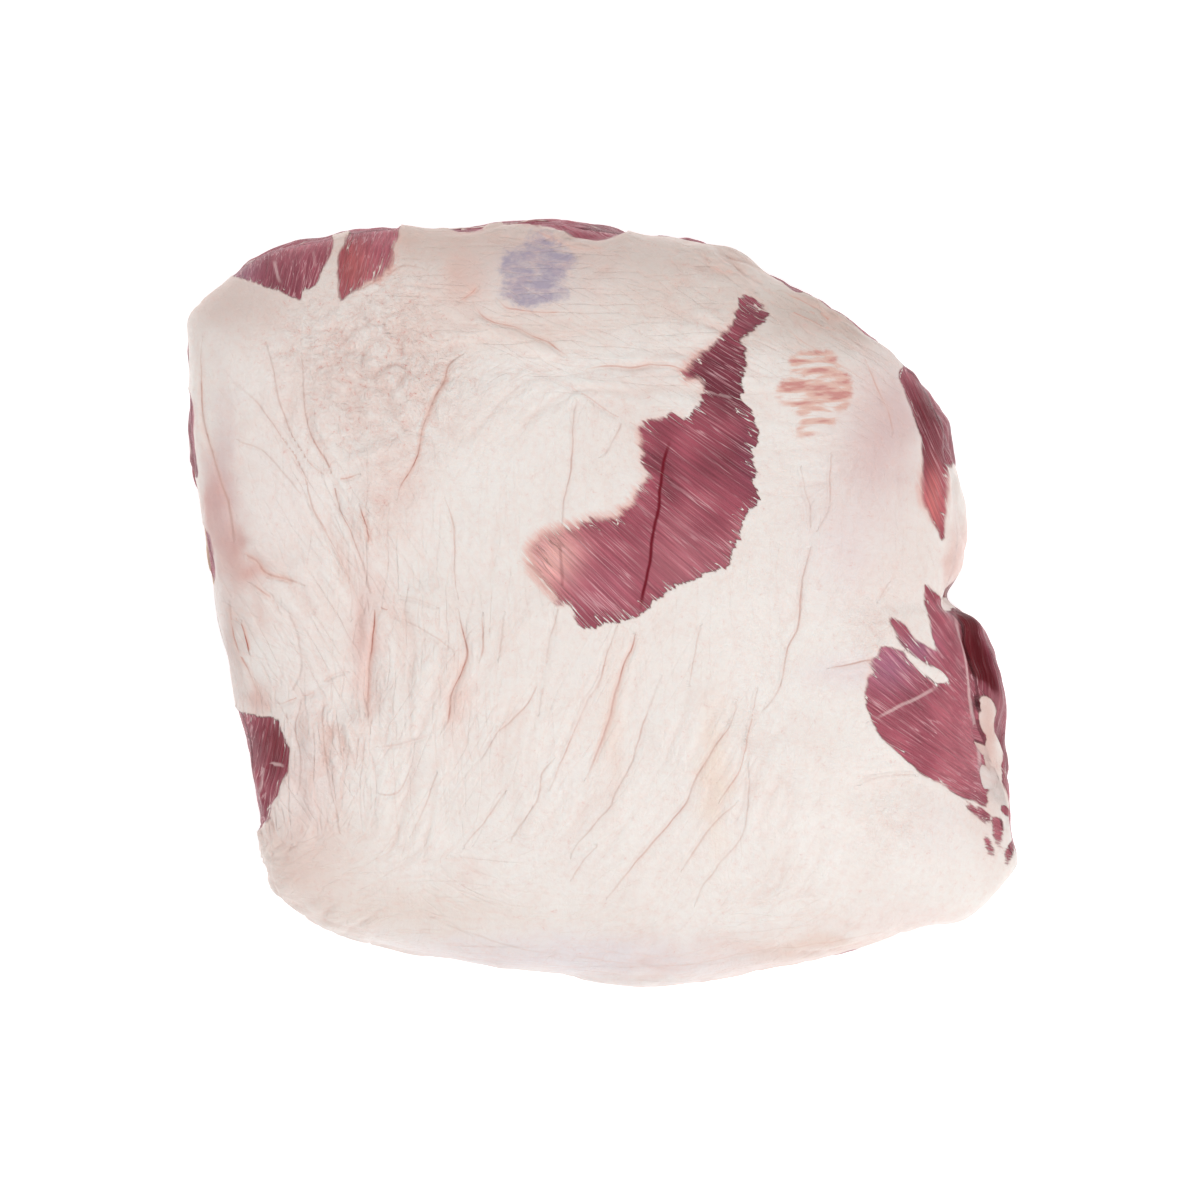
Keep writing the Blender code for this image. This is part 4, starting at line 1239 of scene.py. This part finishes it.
def fat_finish(finish, place, slow, line):
    """The fat's colour and relief: a fine mottle, fine veins, creases pinker at the bottom, and
    painted shade in its crumples, crease lines and wrinkle grooves.
    """
    thin = finish.axes("thin")
    grainy = thin["Z"]
    away = finish.math("ABSOLUTE", line["X"])
    gate = finish.fade(line["Y"], 1.5, 0.95)
    width = finish.scaled(slow["X"], 0.18, 0.38)
    core = finish.times(
        finish.fade(away, width, 0.0), gate, finish.fade(slow["Y"], -0.6, 0.1, 0.25, 1.0)
    )
    halo = finish.times(finish.fade(away, 1.9, 0.1), gate)
    ink = finish.times(core, line["Z"], finish.fade(slow["Z"], -0.5, 0.35, 0.15, 1.0), 0.85)
    near = finish.times(finish.fade(away, 0.85, 0.15), gate)

    mottle = finish.noise(place, 0.45, detail=4, roughness=0.6)
    veins = finish.noise(place, 0.16, detail=4, roughness=0.62, distortion=0.6)
    veins = finish.off_middle(veins)
    crumple = finish.fade(veins, 0.0, 0.10)
    veins = finish.times(
        finish.fade(veins, finish.scaled(grainy, 0.010, 0.010), 0.0),
        finish.fade(mottle, 0.53, 0.66),
        finish.scaled(grainy, 0.35, 0.30),
    )
    blotch = finish.times(finish.fade(mottle, 0.40, 0.70), finish.scaled(grainy, 0.10, 0.16))
    fat = finish.attribute("fat_colour", "Color")
    for name, share in (
        ("blotch", blotch),
        # painted shade: the crumpled fat's hollows are warmed pinker
        ("valley", finish.times(finish.fade(crumple, 0.8, 0.0, 0.0, 0.20), grainy)),
        ("vein", veins),
        # the creases' tan line: partly their own colour, partly painted shade in the crease
        ("crease", finish.times(core, finish.fade(line["Z"], 0.0, 0.5, 0.24, 0.50))),
        ("blush", finish.times(halo, line["Z"], 0.45)),
        ("red crease", ink),
    ):
        fat = finish.paint(share, fat, name)
    fat = see_through(finish, fat, place, mottle, slow, thin)
    wrinkles, dip_shade = fine_wrinkles(finish, place)
    # painted shade in the fine wrinkles' grooves
    fat = finish.paint(finish.times(dip_shade, 0.22), fat, "fold shade")

    pores = finish.noise(place, 0.9, detail=3, roughness=0.6)
    height = finish.times(pores, finish.scaled(grainy, 0.45, 0.22))
    height = finish.scaled(wrinkles, 0.22, height)
    height = finish.scaled(crumple, finish.scaled(grainy, 0.11, 0.05), height)
    height = finish.scaled(finish.fade(line["X"], -0.6, 0.6, -0.22, 0.06), halo, height)
    return fat, height, near


def make_meat_finish(name):
    """Fat and lean on one skin: the attributes say where each shows, and how its grain runs."""
    finish = Finish(name)
    place = finish.object_place()
    grain = finish.attribute("grain", "Vector")
    soft = finish.attribute("soft")
    slow = finish.axes("slow")
    line = finish.axes("line")

    # the frayed edge: rounded teeth, and thin cuts of fat that follow the grain inwards
    teeth = finish.noise(finish.stretch(grain, (0.12, 0.55, 0.4)), detail=3, roughness=0.6)
    cuts = finish.noise(finish.stretch(grain, (0.035, 0.42, 0.3)), detail=2)
    cuts = finish.fade(finish.off_middle(cuts), 0.016, 0.0, 0.0, 1.9)
    teeth = finish.math("ADD", finish.scaled(teeth, 2.6, -1.5), cuts)
    edge = finish.scaled(teeth, finish.attribute("fray"), finish.attribute("bare"))
    lean_share = finish.fade(edge, soft, finish.times(soft, -1.0))

    fat, fat_height, near = fat_finish(finish, place, slow, line)
    lean, lean_height = lean_finish(finish, grain, slow, line, near)

    # where a soft edge lies over muscle, the fat is salmon-pink
    rim = finish.fade(edge, finish.times(soft, 3.0), 0.0)
    rim = finish.times(rim, finish.fade(soft, 0.3, 1.6, 0.15, 0.75))
    fat = finish.paint(rim, fat, "rim")

    gloss = finish.noise(place, 0.35, detail=3)
    rough = finish.fade(gloss, 0.3, 0.7, 0.30, 0.46)
    change = finish.math("SUBTRACT", finish.fade(gloss, 0.3, 0.7, 0.27, 0.40), rough)
    step = finish.math("SUBTRACT", finish.math("SUBTRACT", lean_height, fat_height), LEAN_SUNK_MM)
    finish.fill(
        finish.shader,
        Base_Color=finish.mix(lean_share, fat, lean),
        Roughness=finish.scaled(lean_share, change, rough),
        Specular_IOR_Level=0.18,
        Subsurface_Weight=0.25,
        Subsurface_Radius=(1.0, 0.82, 0.72),
        Subsurface_Scale=0.0025,
    )
    finish.relief(finish.scaled(lean_share, step, fat_height), 1.0, MM)
    return finish.material


def make_bone_finish(colour):
    """Sawn bone: a hard ivory rim round a red-brown spongy middle."""
    finish = Finish("sawn bone")
    place = finish.object_place()
    wander = finish.noise(place, 0.35, detail=2)
    within = finish.math("ADD", finish.attribute("within"), finish.scaled(wander, 2.0, -1.0))
    spongy = finish.fade(within, 0.7, 1.9)
    cells = finish.node("TexVoronoi", (place, None, 1.1), feature="DISTANCE_TO_EDGE")
    walls = finish.fade(cells, 0.16, 0.03)
    stain = finish.noise(place, 0.22, detail=3)
    rim = finish.paint(finish.fade(stain, 0.4, 0.7, 0.0, 0.5), tuple(colour), "bone stain")
    marrow = finish.paint(finish.fade(stain, 0.35, 0.65), linear(PAINTS["marrow"]), "pale marrow")
    middle = finish.paint(finish.times(walls, 0.75), marrow, "bone wall")
    saw = finish.noise(finish.stretch(place, (0.6, 0.05, 1.6)), detail=3)
    finish.fill(
        finish.shader,
        Base_Color=finish.mix(spongy, rim, middle),
        Roughness=0.42,
        Subsurface_Weight=0.15,
        Subsurface_Radius=(1.0, 0.5, 0.3),
        Subsurface_Scale=0.0015,
    )
    finish.relief(finish.scaled(walls, finish.times(spongy, 0.5), saw), 0.6, 0.5 * MM)
    return finish.material


def fat_relief(places, spots, creases):
    """The fat's relief in mm (swells, folds, lumps, creases, ridges) and the painted shade of its
    hollows.
    """
    folds, strength = flowing_wrinkles(places, *FOLDS_MM)
    wrinkles, _ = flowing_wrinkles(places, *FINE_FOLDS_MM)
    folds = np.minimum(np.abs(folds) / 0.45, 1)
    wrinkles = np.minimum(np.abs(wrinkles) / 0.40, 1)
    calm = 0.15 + 1.15 * smooth_step(-0.25, 0.6, layered(places, FOLD_CALM))
    strength = strength * calm
    detail = strength * (1.30 * folds + 0.75 * wrinkles)
    # how much painted shade each hollow between the folds gets
    hollow_shade = strength * (0.60 * (1 - folds) ** 3 + 0.30 * (1 - wrinkles) ** 3)
    warp = layered(places, LUMP_WARP)[:, None]
    lumps = np.minimum(np.abs(layered(places + warp, LUMPS)) / 0.55, 1)
    grainy = grain_share(spots)
    detail += grainy * lumps
    hollow_shade += 0.4 * grainy * (1 - lumps) ** 3
    relief = layered(places, FAT_SWELLS) + detail - 0.6 + creases + ridge_field(spots)
    return relief, hollow_shade


def skin(azimuth, level):
    """The block's finished surface at each azimuth and level, with what its finish reads."""
    points, facing = block_surface(azimuth, level)
    spots = seen_from_above(points)
    places = points / MM
    end = by_side(azimuth, CAP_ENDS)
    cover = (end - level) * LEVEL_MM + 2.0 + layered(places, CAP_EDGE)
    steep = 1 - smooth_step(0.15, 0.55, facing[:, 2])
    bare, fray, soft, furrows, tone, grain = bare_field(cover, places, spots, steep)
    ragged = shaken(spots, places, CREASE_SHAKE)
    creases, line = crease_field(ragged, CREASES_MM + SLITS_MM + TENDONS_MM)
    seen = smooth_step(*CREASE_RISE_MM, places[:, 2])
    line[:, :2] += ((1 - seen) * FAR)[:, None]
    fat, hollow_shade = fat_relief(places, spots, creases * seen)
    hard = 1 - smooth_step(0.5, 2.0, soft)
    fat = np.where(bare < 0, fat * 0.6, fat)
    fat -= WINDOW_DEPTH_MM * smooth_step(0.6, -1.2, bare) * (0.3 + 0.7 * hard)
    fat += WINDOW_LIP_MM * hard * bump(bare, 1.6, 1.2)
    side = layered(places, SIDE_SWELLS) - 0.3
    side += FOOT_SWELL_MM * smooth_step(*FOOT_FALL_MM, places[:, 2])
    furrow = bpy.context.scene.pork_lean.furrow / MM
    side += SEAM_PROUD_MM * smooth_step(-0.8, 0.8, bare) - furrow * furrows
    share = smooth_step(-2, 5, cover)
    relief = (side + (fat - side) * share) * smooth_step(0, 7, places[:, 2])
    outer = points + facing * (relief * MM)[:, None]
    outer[:, 2] = np.maximum(outer[:, 2], 0)
    angle, strength = wrinkle_flow(spots)
    flow = np.stack([np.cos(2 * angle), np.sin(2 * angle), np.ones(len(angle))], axis=1)
    high = places[:, 2] + layered(places, TINT_EDGE)
    shown = smooth_step(*LEAN_TINT_RISE_MM, high)
    # tints on the lean, with painted shade in the right-hand crevice and hole
    lean = tinted(lean_colours(tone, places), spots, LEAN_TINTS_AND_SHADE_MM, shown)
    # the muscle behind the right-hand lip: its own maroon with painted shade under the lip
    dark_shaded_flap = smooth_step(0.6, -1.0, outline_distance(spots, FLAP_MM))
    dark_shaded_flap *= smooth_step(*FLAP_RISE_MM, high)
    lean += (linear(FLAP_DARK_AND_SHADE) - lean) * 0.97 * dark_shaded_flap[:, None]
    thin = np.stack([outline_distance(spots, STRIPES_MM), outline_distance(spots, MEMBRANE_MM)])
    thin = np.where(places[:, 2] > THIN_FAT_HEIGHT_MM, thin, FAR)
    slow = [unevenness(places, pitch, SLOW_SEED) for pitch in SLOW_PITCHES_MM]
    return outer, facing, {
        "bare": bare,
        "fray": fray,
        "soft": soft,
        "thin": np.stack([*thin, grain_share(spots)], axis=1),
        "slow": np.stack(slow, axis=1),
        "grain": grain,
        "flow": flow * strength[:, None],
        "line": line,
        "fat_colour": with_alpha(fat_colours(spots, places, hollow_shade * share)),
        "lean_colour": with_alpha(lean),
    }


def sharpen_ring(data, ring):
    """Marks the edges between the chosen vertices as sharp, so that each side shades alone."""
    ends = np.empty(len(data.edges) * 2, dtype=np.int32)
    data.edges.foreach_get("vertices", ends)
    sharp = ring[ends].reshape(-1, 2).all(axis=1)
    attribute = data.attributes.new("sharp_edge", "BOOLEAN", "EDGE")
    attribute.data.foreach_set("value", sharp)


def wrap_skin(data, outer, inner, row, edge_row, upwards):
    """Places the skin's points, outside up to its edge's row and inside past it."""
    is_inner = upwards * (row - edge_row) > 0.5
    set_places(data, np.where(is_inner[:, None], inner, outer))
    sharpen_ring(data, np.abs(row - edge_row) < 0.5)


class CapSettings(PropertyGroup):
    thickness: FloatProperty(
        name="Thickness", description="Thickness of the fat cap", default=0.0065, unit="LENGTH"
    )


class LeanSettings(PropertyGroup):
    furrow: FloatProperty(
        name="Furrow depth",
        description="Depth of the furrows between the muscles at the sides",
        default=0.0028,
        unit="LENGTH",
    )


class BoneSettings(PropertyGroup):
    proud: FloatProperty(
        name="Proud",
        description="How far the sawn bone stands out of the meat",
        default=0.0005,
        unit="LENGTH",
    )
    colour: FloatVectorProperty(
        name="Bone colour",
        description="Colour of the bone's hard rim",
        default=(0.70, 0.58, 0.45),
        subtype="COLOR",
    )


class StageSettings(PropertyGroup):
    lens: FloatProperty(name="Lens", description="Focal length in mm", default=200.0)
    floor_size: FloatProperty(
        name="Floor", description="Length of the floor's side", default=8.0, unit="LENGTH"
    )
    floor_colour: FloatVectorProperty(
        name="Floor colour",
        description="Colour of the pale floor",
        default=(0.92, 0.92, 0.92),
        subtype="COLOR",
    )
    key_power: FloatProperty(
        name="Key light", description="Power of the soft key light", default=9.6, unit="POWER"
    )
    fill: FloatProperty(
        name="Fill light", description="Strength of the light all round", default=0.48
    )


class PORKBUTT_OT_fat_cap(Operator):
    """Make the fat cap with its bare windows, wrinkles and creases"""

    bl_idname = "porkbutt.fat_cap"
    bl_label = "Fat cap"

    def execute(self, context):
        settings = context.scene.pork_cap
        rows = CAP_ROWS + INNER_ROWS
        piece = to_object(shell_mesh(rows, True), "pork_fat_cap", make_meat_finish("raw pork fat"))
        cube = vertex_places(piece.data)
        azimuth = np.arctan2(cube[:, 1], cube[:, 0])
        ring = np.maximum(np.abs(cube[:, 0]), np.abs(cube[:, 1]))
        on_top = cube[:, 2] > 1 - WELD
        row = (1 - cube[:, 2]) / 2 * rows
        end = by_side(azimuth, CAP_ENDS)
        share = np.clip(row / CAP_ROWS, 0, 1)
        level = np.where(on_top, ring, 1 + (end - 1) * share)
        outer, _, fields = skin(azimuth, level)
        inner_share = np.clip((row - CAP_ROWS) / INNER_ROWS, 0, 1)
        inner = inner_shell(azimuth, inner_share, settings.thickness / MM)
        wrap_skin(piece.data, outer, inner, row, CAP_ROWS, 1)
        for name, values in fields.items():
            set_attribute(piece.data, name, values)
        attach(piece, "root")
        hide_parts("fat_cap")
        return {"FINISHED"}


class PORKBUTT_OT_lean_block(Operator):
    """Make the lean block, whose muscles and seams of fat show at the sides"""

    bl_idname = "porkbutt.lean_block"
    bl_label = "Lean block"

    def execute(self, context):
        thickness = context.scene.pork_cap.thickness / MM
        rows = INNER_ROWS + SIDE_ROWS + UNDER_ROWS
        piece = to_object(shell_mesh(rows, False), "pork_lean", make_meat_finish("raw pork lean"))
        cube = vertex_places(piece.data)
        azimuth = np.arctan2(cube[:, 1], cube[:, 0])
        row = (1 - cube[:, 2]) / 2 * rows
        end = by_side(azimuth, CAP_ENDS)
        share = np.clip((row - INNER_ROWS) / SIDE_ROWS, 0, 1)
        under = np.clip((row - INNER_ROWS - SIDE_ROWS) / UNDER_ROWS, 0, 1)
        level = end + (2 - end) * share + under**1.4
        outer, facing, fields = skin(azimuth, level)
        bone_y, bone_z = outer[:, 1] / MM - BONE_Y_MM, outer[:, 2] / MM - BONE_Z_MM
        bone = outline_distance(np.stack([bone_y, bone_z], axis=1), BONE_SECTION_MM)
        bone = np.where(outer[:, 0] < 0, bone, FAR)
        seat = BONE_RIM_MM * bump(bone, 2.5, 1.6) - BONE_SEAT_MM * smooth_step(0.6, -0.6, bone)
        outer = outer + facing * (seat * MM)[:, None]
        inner_share = np.clip(1 - row / INNER_ROWS, 0, 1)
        inner = inner_shell(azimuth, inner_share, thickness + GAP_MM)
        wrap_skin(piece.data, outer, inner, row, INNER_ROWS, -1)
        for name, values in fields.items():
            set_attribute(piece.data, name, values)
        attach(piece, "root")
        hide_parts("lean_meat")
        return {"FINISHED"}


class PORKBUTT_OT_blade_bone(Operator):
    """Make the blade bone, sawn off at the left face"""

    bl_idname = "porkbutt.blade_bone"
    bl_label = "Blade bone"

    def execute(self, context):
        settings = context.scene.pork_bone
        mesh = bmesh.new()
        ring = [
            mesh.verts.new((0, y * MM, z * MM)) for y, z in rounded_line(BONE_SECTION_MM, 6)
        ]
        face = bmesh.ops.contextual_create(mesh, geom=ring)["faces"]
        grown = bmesh.ops.extrude_face_region(mesh, geom=face)
        back = [item for item in grown["geom"] if isinstance(item, bmesh.types.BMVert)]
        bmesh.ops.translate(mesh, verts=back, vec=(BONE_LENGTH, 0, 0))
        mesh.normal_update()
        front = [face for face in mesh.faces if face.calc_center_median().x < MM]
        for thickness in BONE_INSETS:
            bmesh.ops.inset_region(mesh, faces=front, thickness=thickness, use_even_offset=True)
        bmesh.ops.recalc_face_normals(mesh, faces=mesh.faces[:])
        piece = to_object(mesh, "pork_blade_bone", make_bone_finish(settings.colour))
        places = vertex_places(piece.data)
        within = -outline_distance(places[:, 1:] / MM, BONE_SECTION_MM)
        sawn = places[:, 0] < BONE_LENGTH / 2
        set_attribute(piece.data, "within", np.where(sawn, within, 0.0))
        y = places[:, 1] + BONE_Y_MM * MM
        z = places[:, 2] + BONE_Z_MM * MM
        azimuth = math.pi - np.arcsin(np.clip(y / LEFT_WALL_REACH, -1, 1))
        level = np.full(len(y), 1.5)
        for _ in range(WALL_STEPS):
            wall, _ = block_surface(azimuth, level)
            level = np.clip(level + (wall[:, 2] - z) / (LEVEL_MM * MM), 1.02, 1.98)
            azimuth = azimuth + (wall[:, 1] - y) / LEFT_WALL_REACH
        rounded = smooth_step(0.4, 0.0, within) + smooth_step(1.2, 2.4, within)
        face_x = wall[:, 0] - settings.proud + BONE_ROUNDING * rounded
        x = np.where(sawn, face_x, BONE_START_X + places[:, 0])
        set_places(piece.data, np.stack([x, y, z], axis=1))
        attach(piece, "root")
        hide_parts("blade_bone")
        return {"FINISHED"}


class PORKBUTT_OT_stage(Operator):
    """Make the pale floor, the soft lights and the camera over the block"""

    bl_idname = "porkbutt.stage"
    bl_label = "Stage"

    def add_light(self, name, place, size, power):
        lamp = bpy.data.lights.new(name, "AREA")
        lamp.size = size
        lamp.energy = power
        light = bpy.data.objects.new(name, lamp)
        light.location = place
        heading = Vector(LIGHT_TARGET) - Vector(place)
        light.rotation_euler = heading.to_track_quat("-Z", "Y").to_euler()
        bpy.context.scene.collection.objects.link(light)

    def execute(self, context):
        settings = context.scene.pork_stage
        finish = Finish("pale floor")
        paint = finish.noise(finish.node("TexCoord", output="Object"), 3.0)
        shade = finish.fade(paint, 0.3, 0.7, 0.985, 1.0)
        finish.fill(
            finish.shader,
            Base_Color=finish.stretch(settings.floor_colour, shade),
            Roughness=0.9,
            Emission_Color=(1, 1, 1, 1),
            Emission_Strength=0.55,
        )
        mesh = bmesh.new()
        bmesh.ops.create_grid(mesh, x_segments=8, y_segments=8, size=settings.floor_size / 2)
        floor = to_object(mesh, "floor", finish.material)

        camera = bpy.data.cameras.new("camera")
        camera.sensor_width = SENSOR
        camera.lens = settings.lens
        camera.clip_end = 50
        eye = bpy.data.objects.new("camera", camera)
        distance = FRAME_WIDTH * settings.lens / SENSOR
        eye.location = (CAMERA_X, CAMERA_Y, PLANE_HEIGHT + distance)
        context.scene.collection.objects.link(eye)
        context.scene.camera = eye

        for name, (place, size, share) in LIGHTS.items():
            self.add_light(name, place, size, settings.key_power * share)
        world = bpy.data.worlds.new("studio")
        world.use_nodes = True
        nodes, links = world.node_tree.nodes, world.node_tree.links
        sky = nodes["Background"]
        sky.inputs["Color"].default_value = (1, 1, 1, 1)
        path = nodes.new("ShaderNodeLightPath")
        backdrop = nodes.new("ShaderNodeMapRange")
        backdrop.inputs["To Min"].default_value = settings.fill
        links.new(path.outputs["Is Camera Ray"], backdrop.inputs["Value"])
        links.new(backdrop.outputs["Result"], sky.inputs["Strength"])
        context.scene.world = world
        context.scene.view_settings.view_transform = "Standard"
        return {"FINISHED"}


class PORKBUTT_PT_panel(Panel):
    bl_label = "Pork butt"
    bl_space_type = "VIEW_3D"
    bl_region_type = "UI"
    bl_category = "Pork butt"

    def draw(self, context):
        for operator in OPERATORS:
            self.layout.operator(operator.bl_idname)


GROUPS = {
    "pork_cap": CapSettings,
    "pork_lean": LeanSettings,
    "pork_bone": BoneSettings,
    "pork_stage": StageSettings,
}
OPERATORS = (
    PORKBUTT_OT_fat_cap,
    PORKBUTT_OT_lean_block,
    PORKBUTT_OT_blade_bone,
    PORKBUTT_OT_stage,
)


def register():
    for item in (*GROUPS.values(), *OPERATORS, PORKBUTT_PT_panel):
        bpy.utils.register_class(item)
    for name, group in GROUPS.items():
        setattr(bpy.types.Scene, name, PointerProperty(type=group))


def unregister():
    for name in GROUPS:
        delattr(bpy.types.Scene, name)
    for item in (PORKBUTT_PT_panel, *OPERATORS, *GROUPS.values()):
        bpy.utils.unregister_class(item)


def main():
    register()
    bpy.ops.porkbutt.fat_cap()
    bpy.ops.porkbutt.lean_block()
    bpy.ops.porkbutt.blade_bone()
    bpy.ops.porkbutt.stage()


if __name__ == "__main__":
    main()
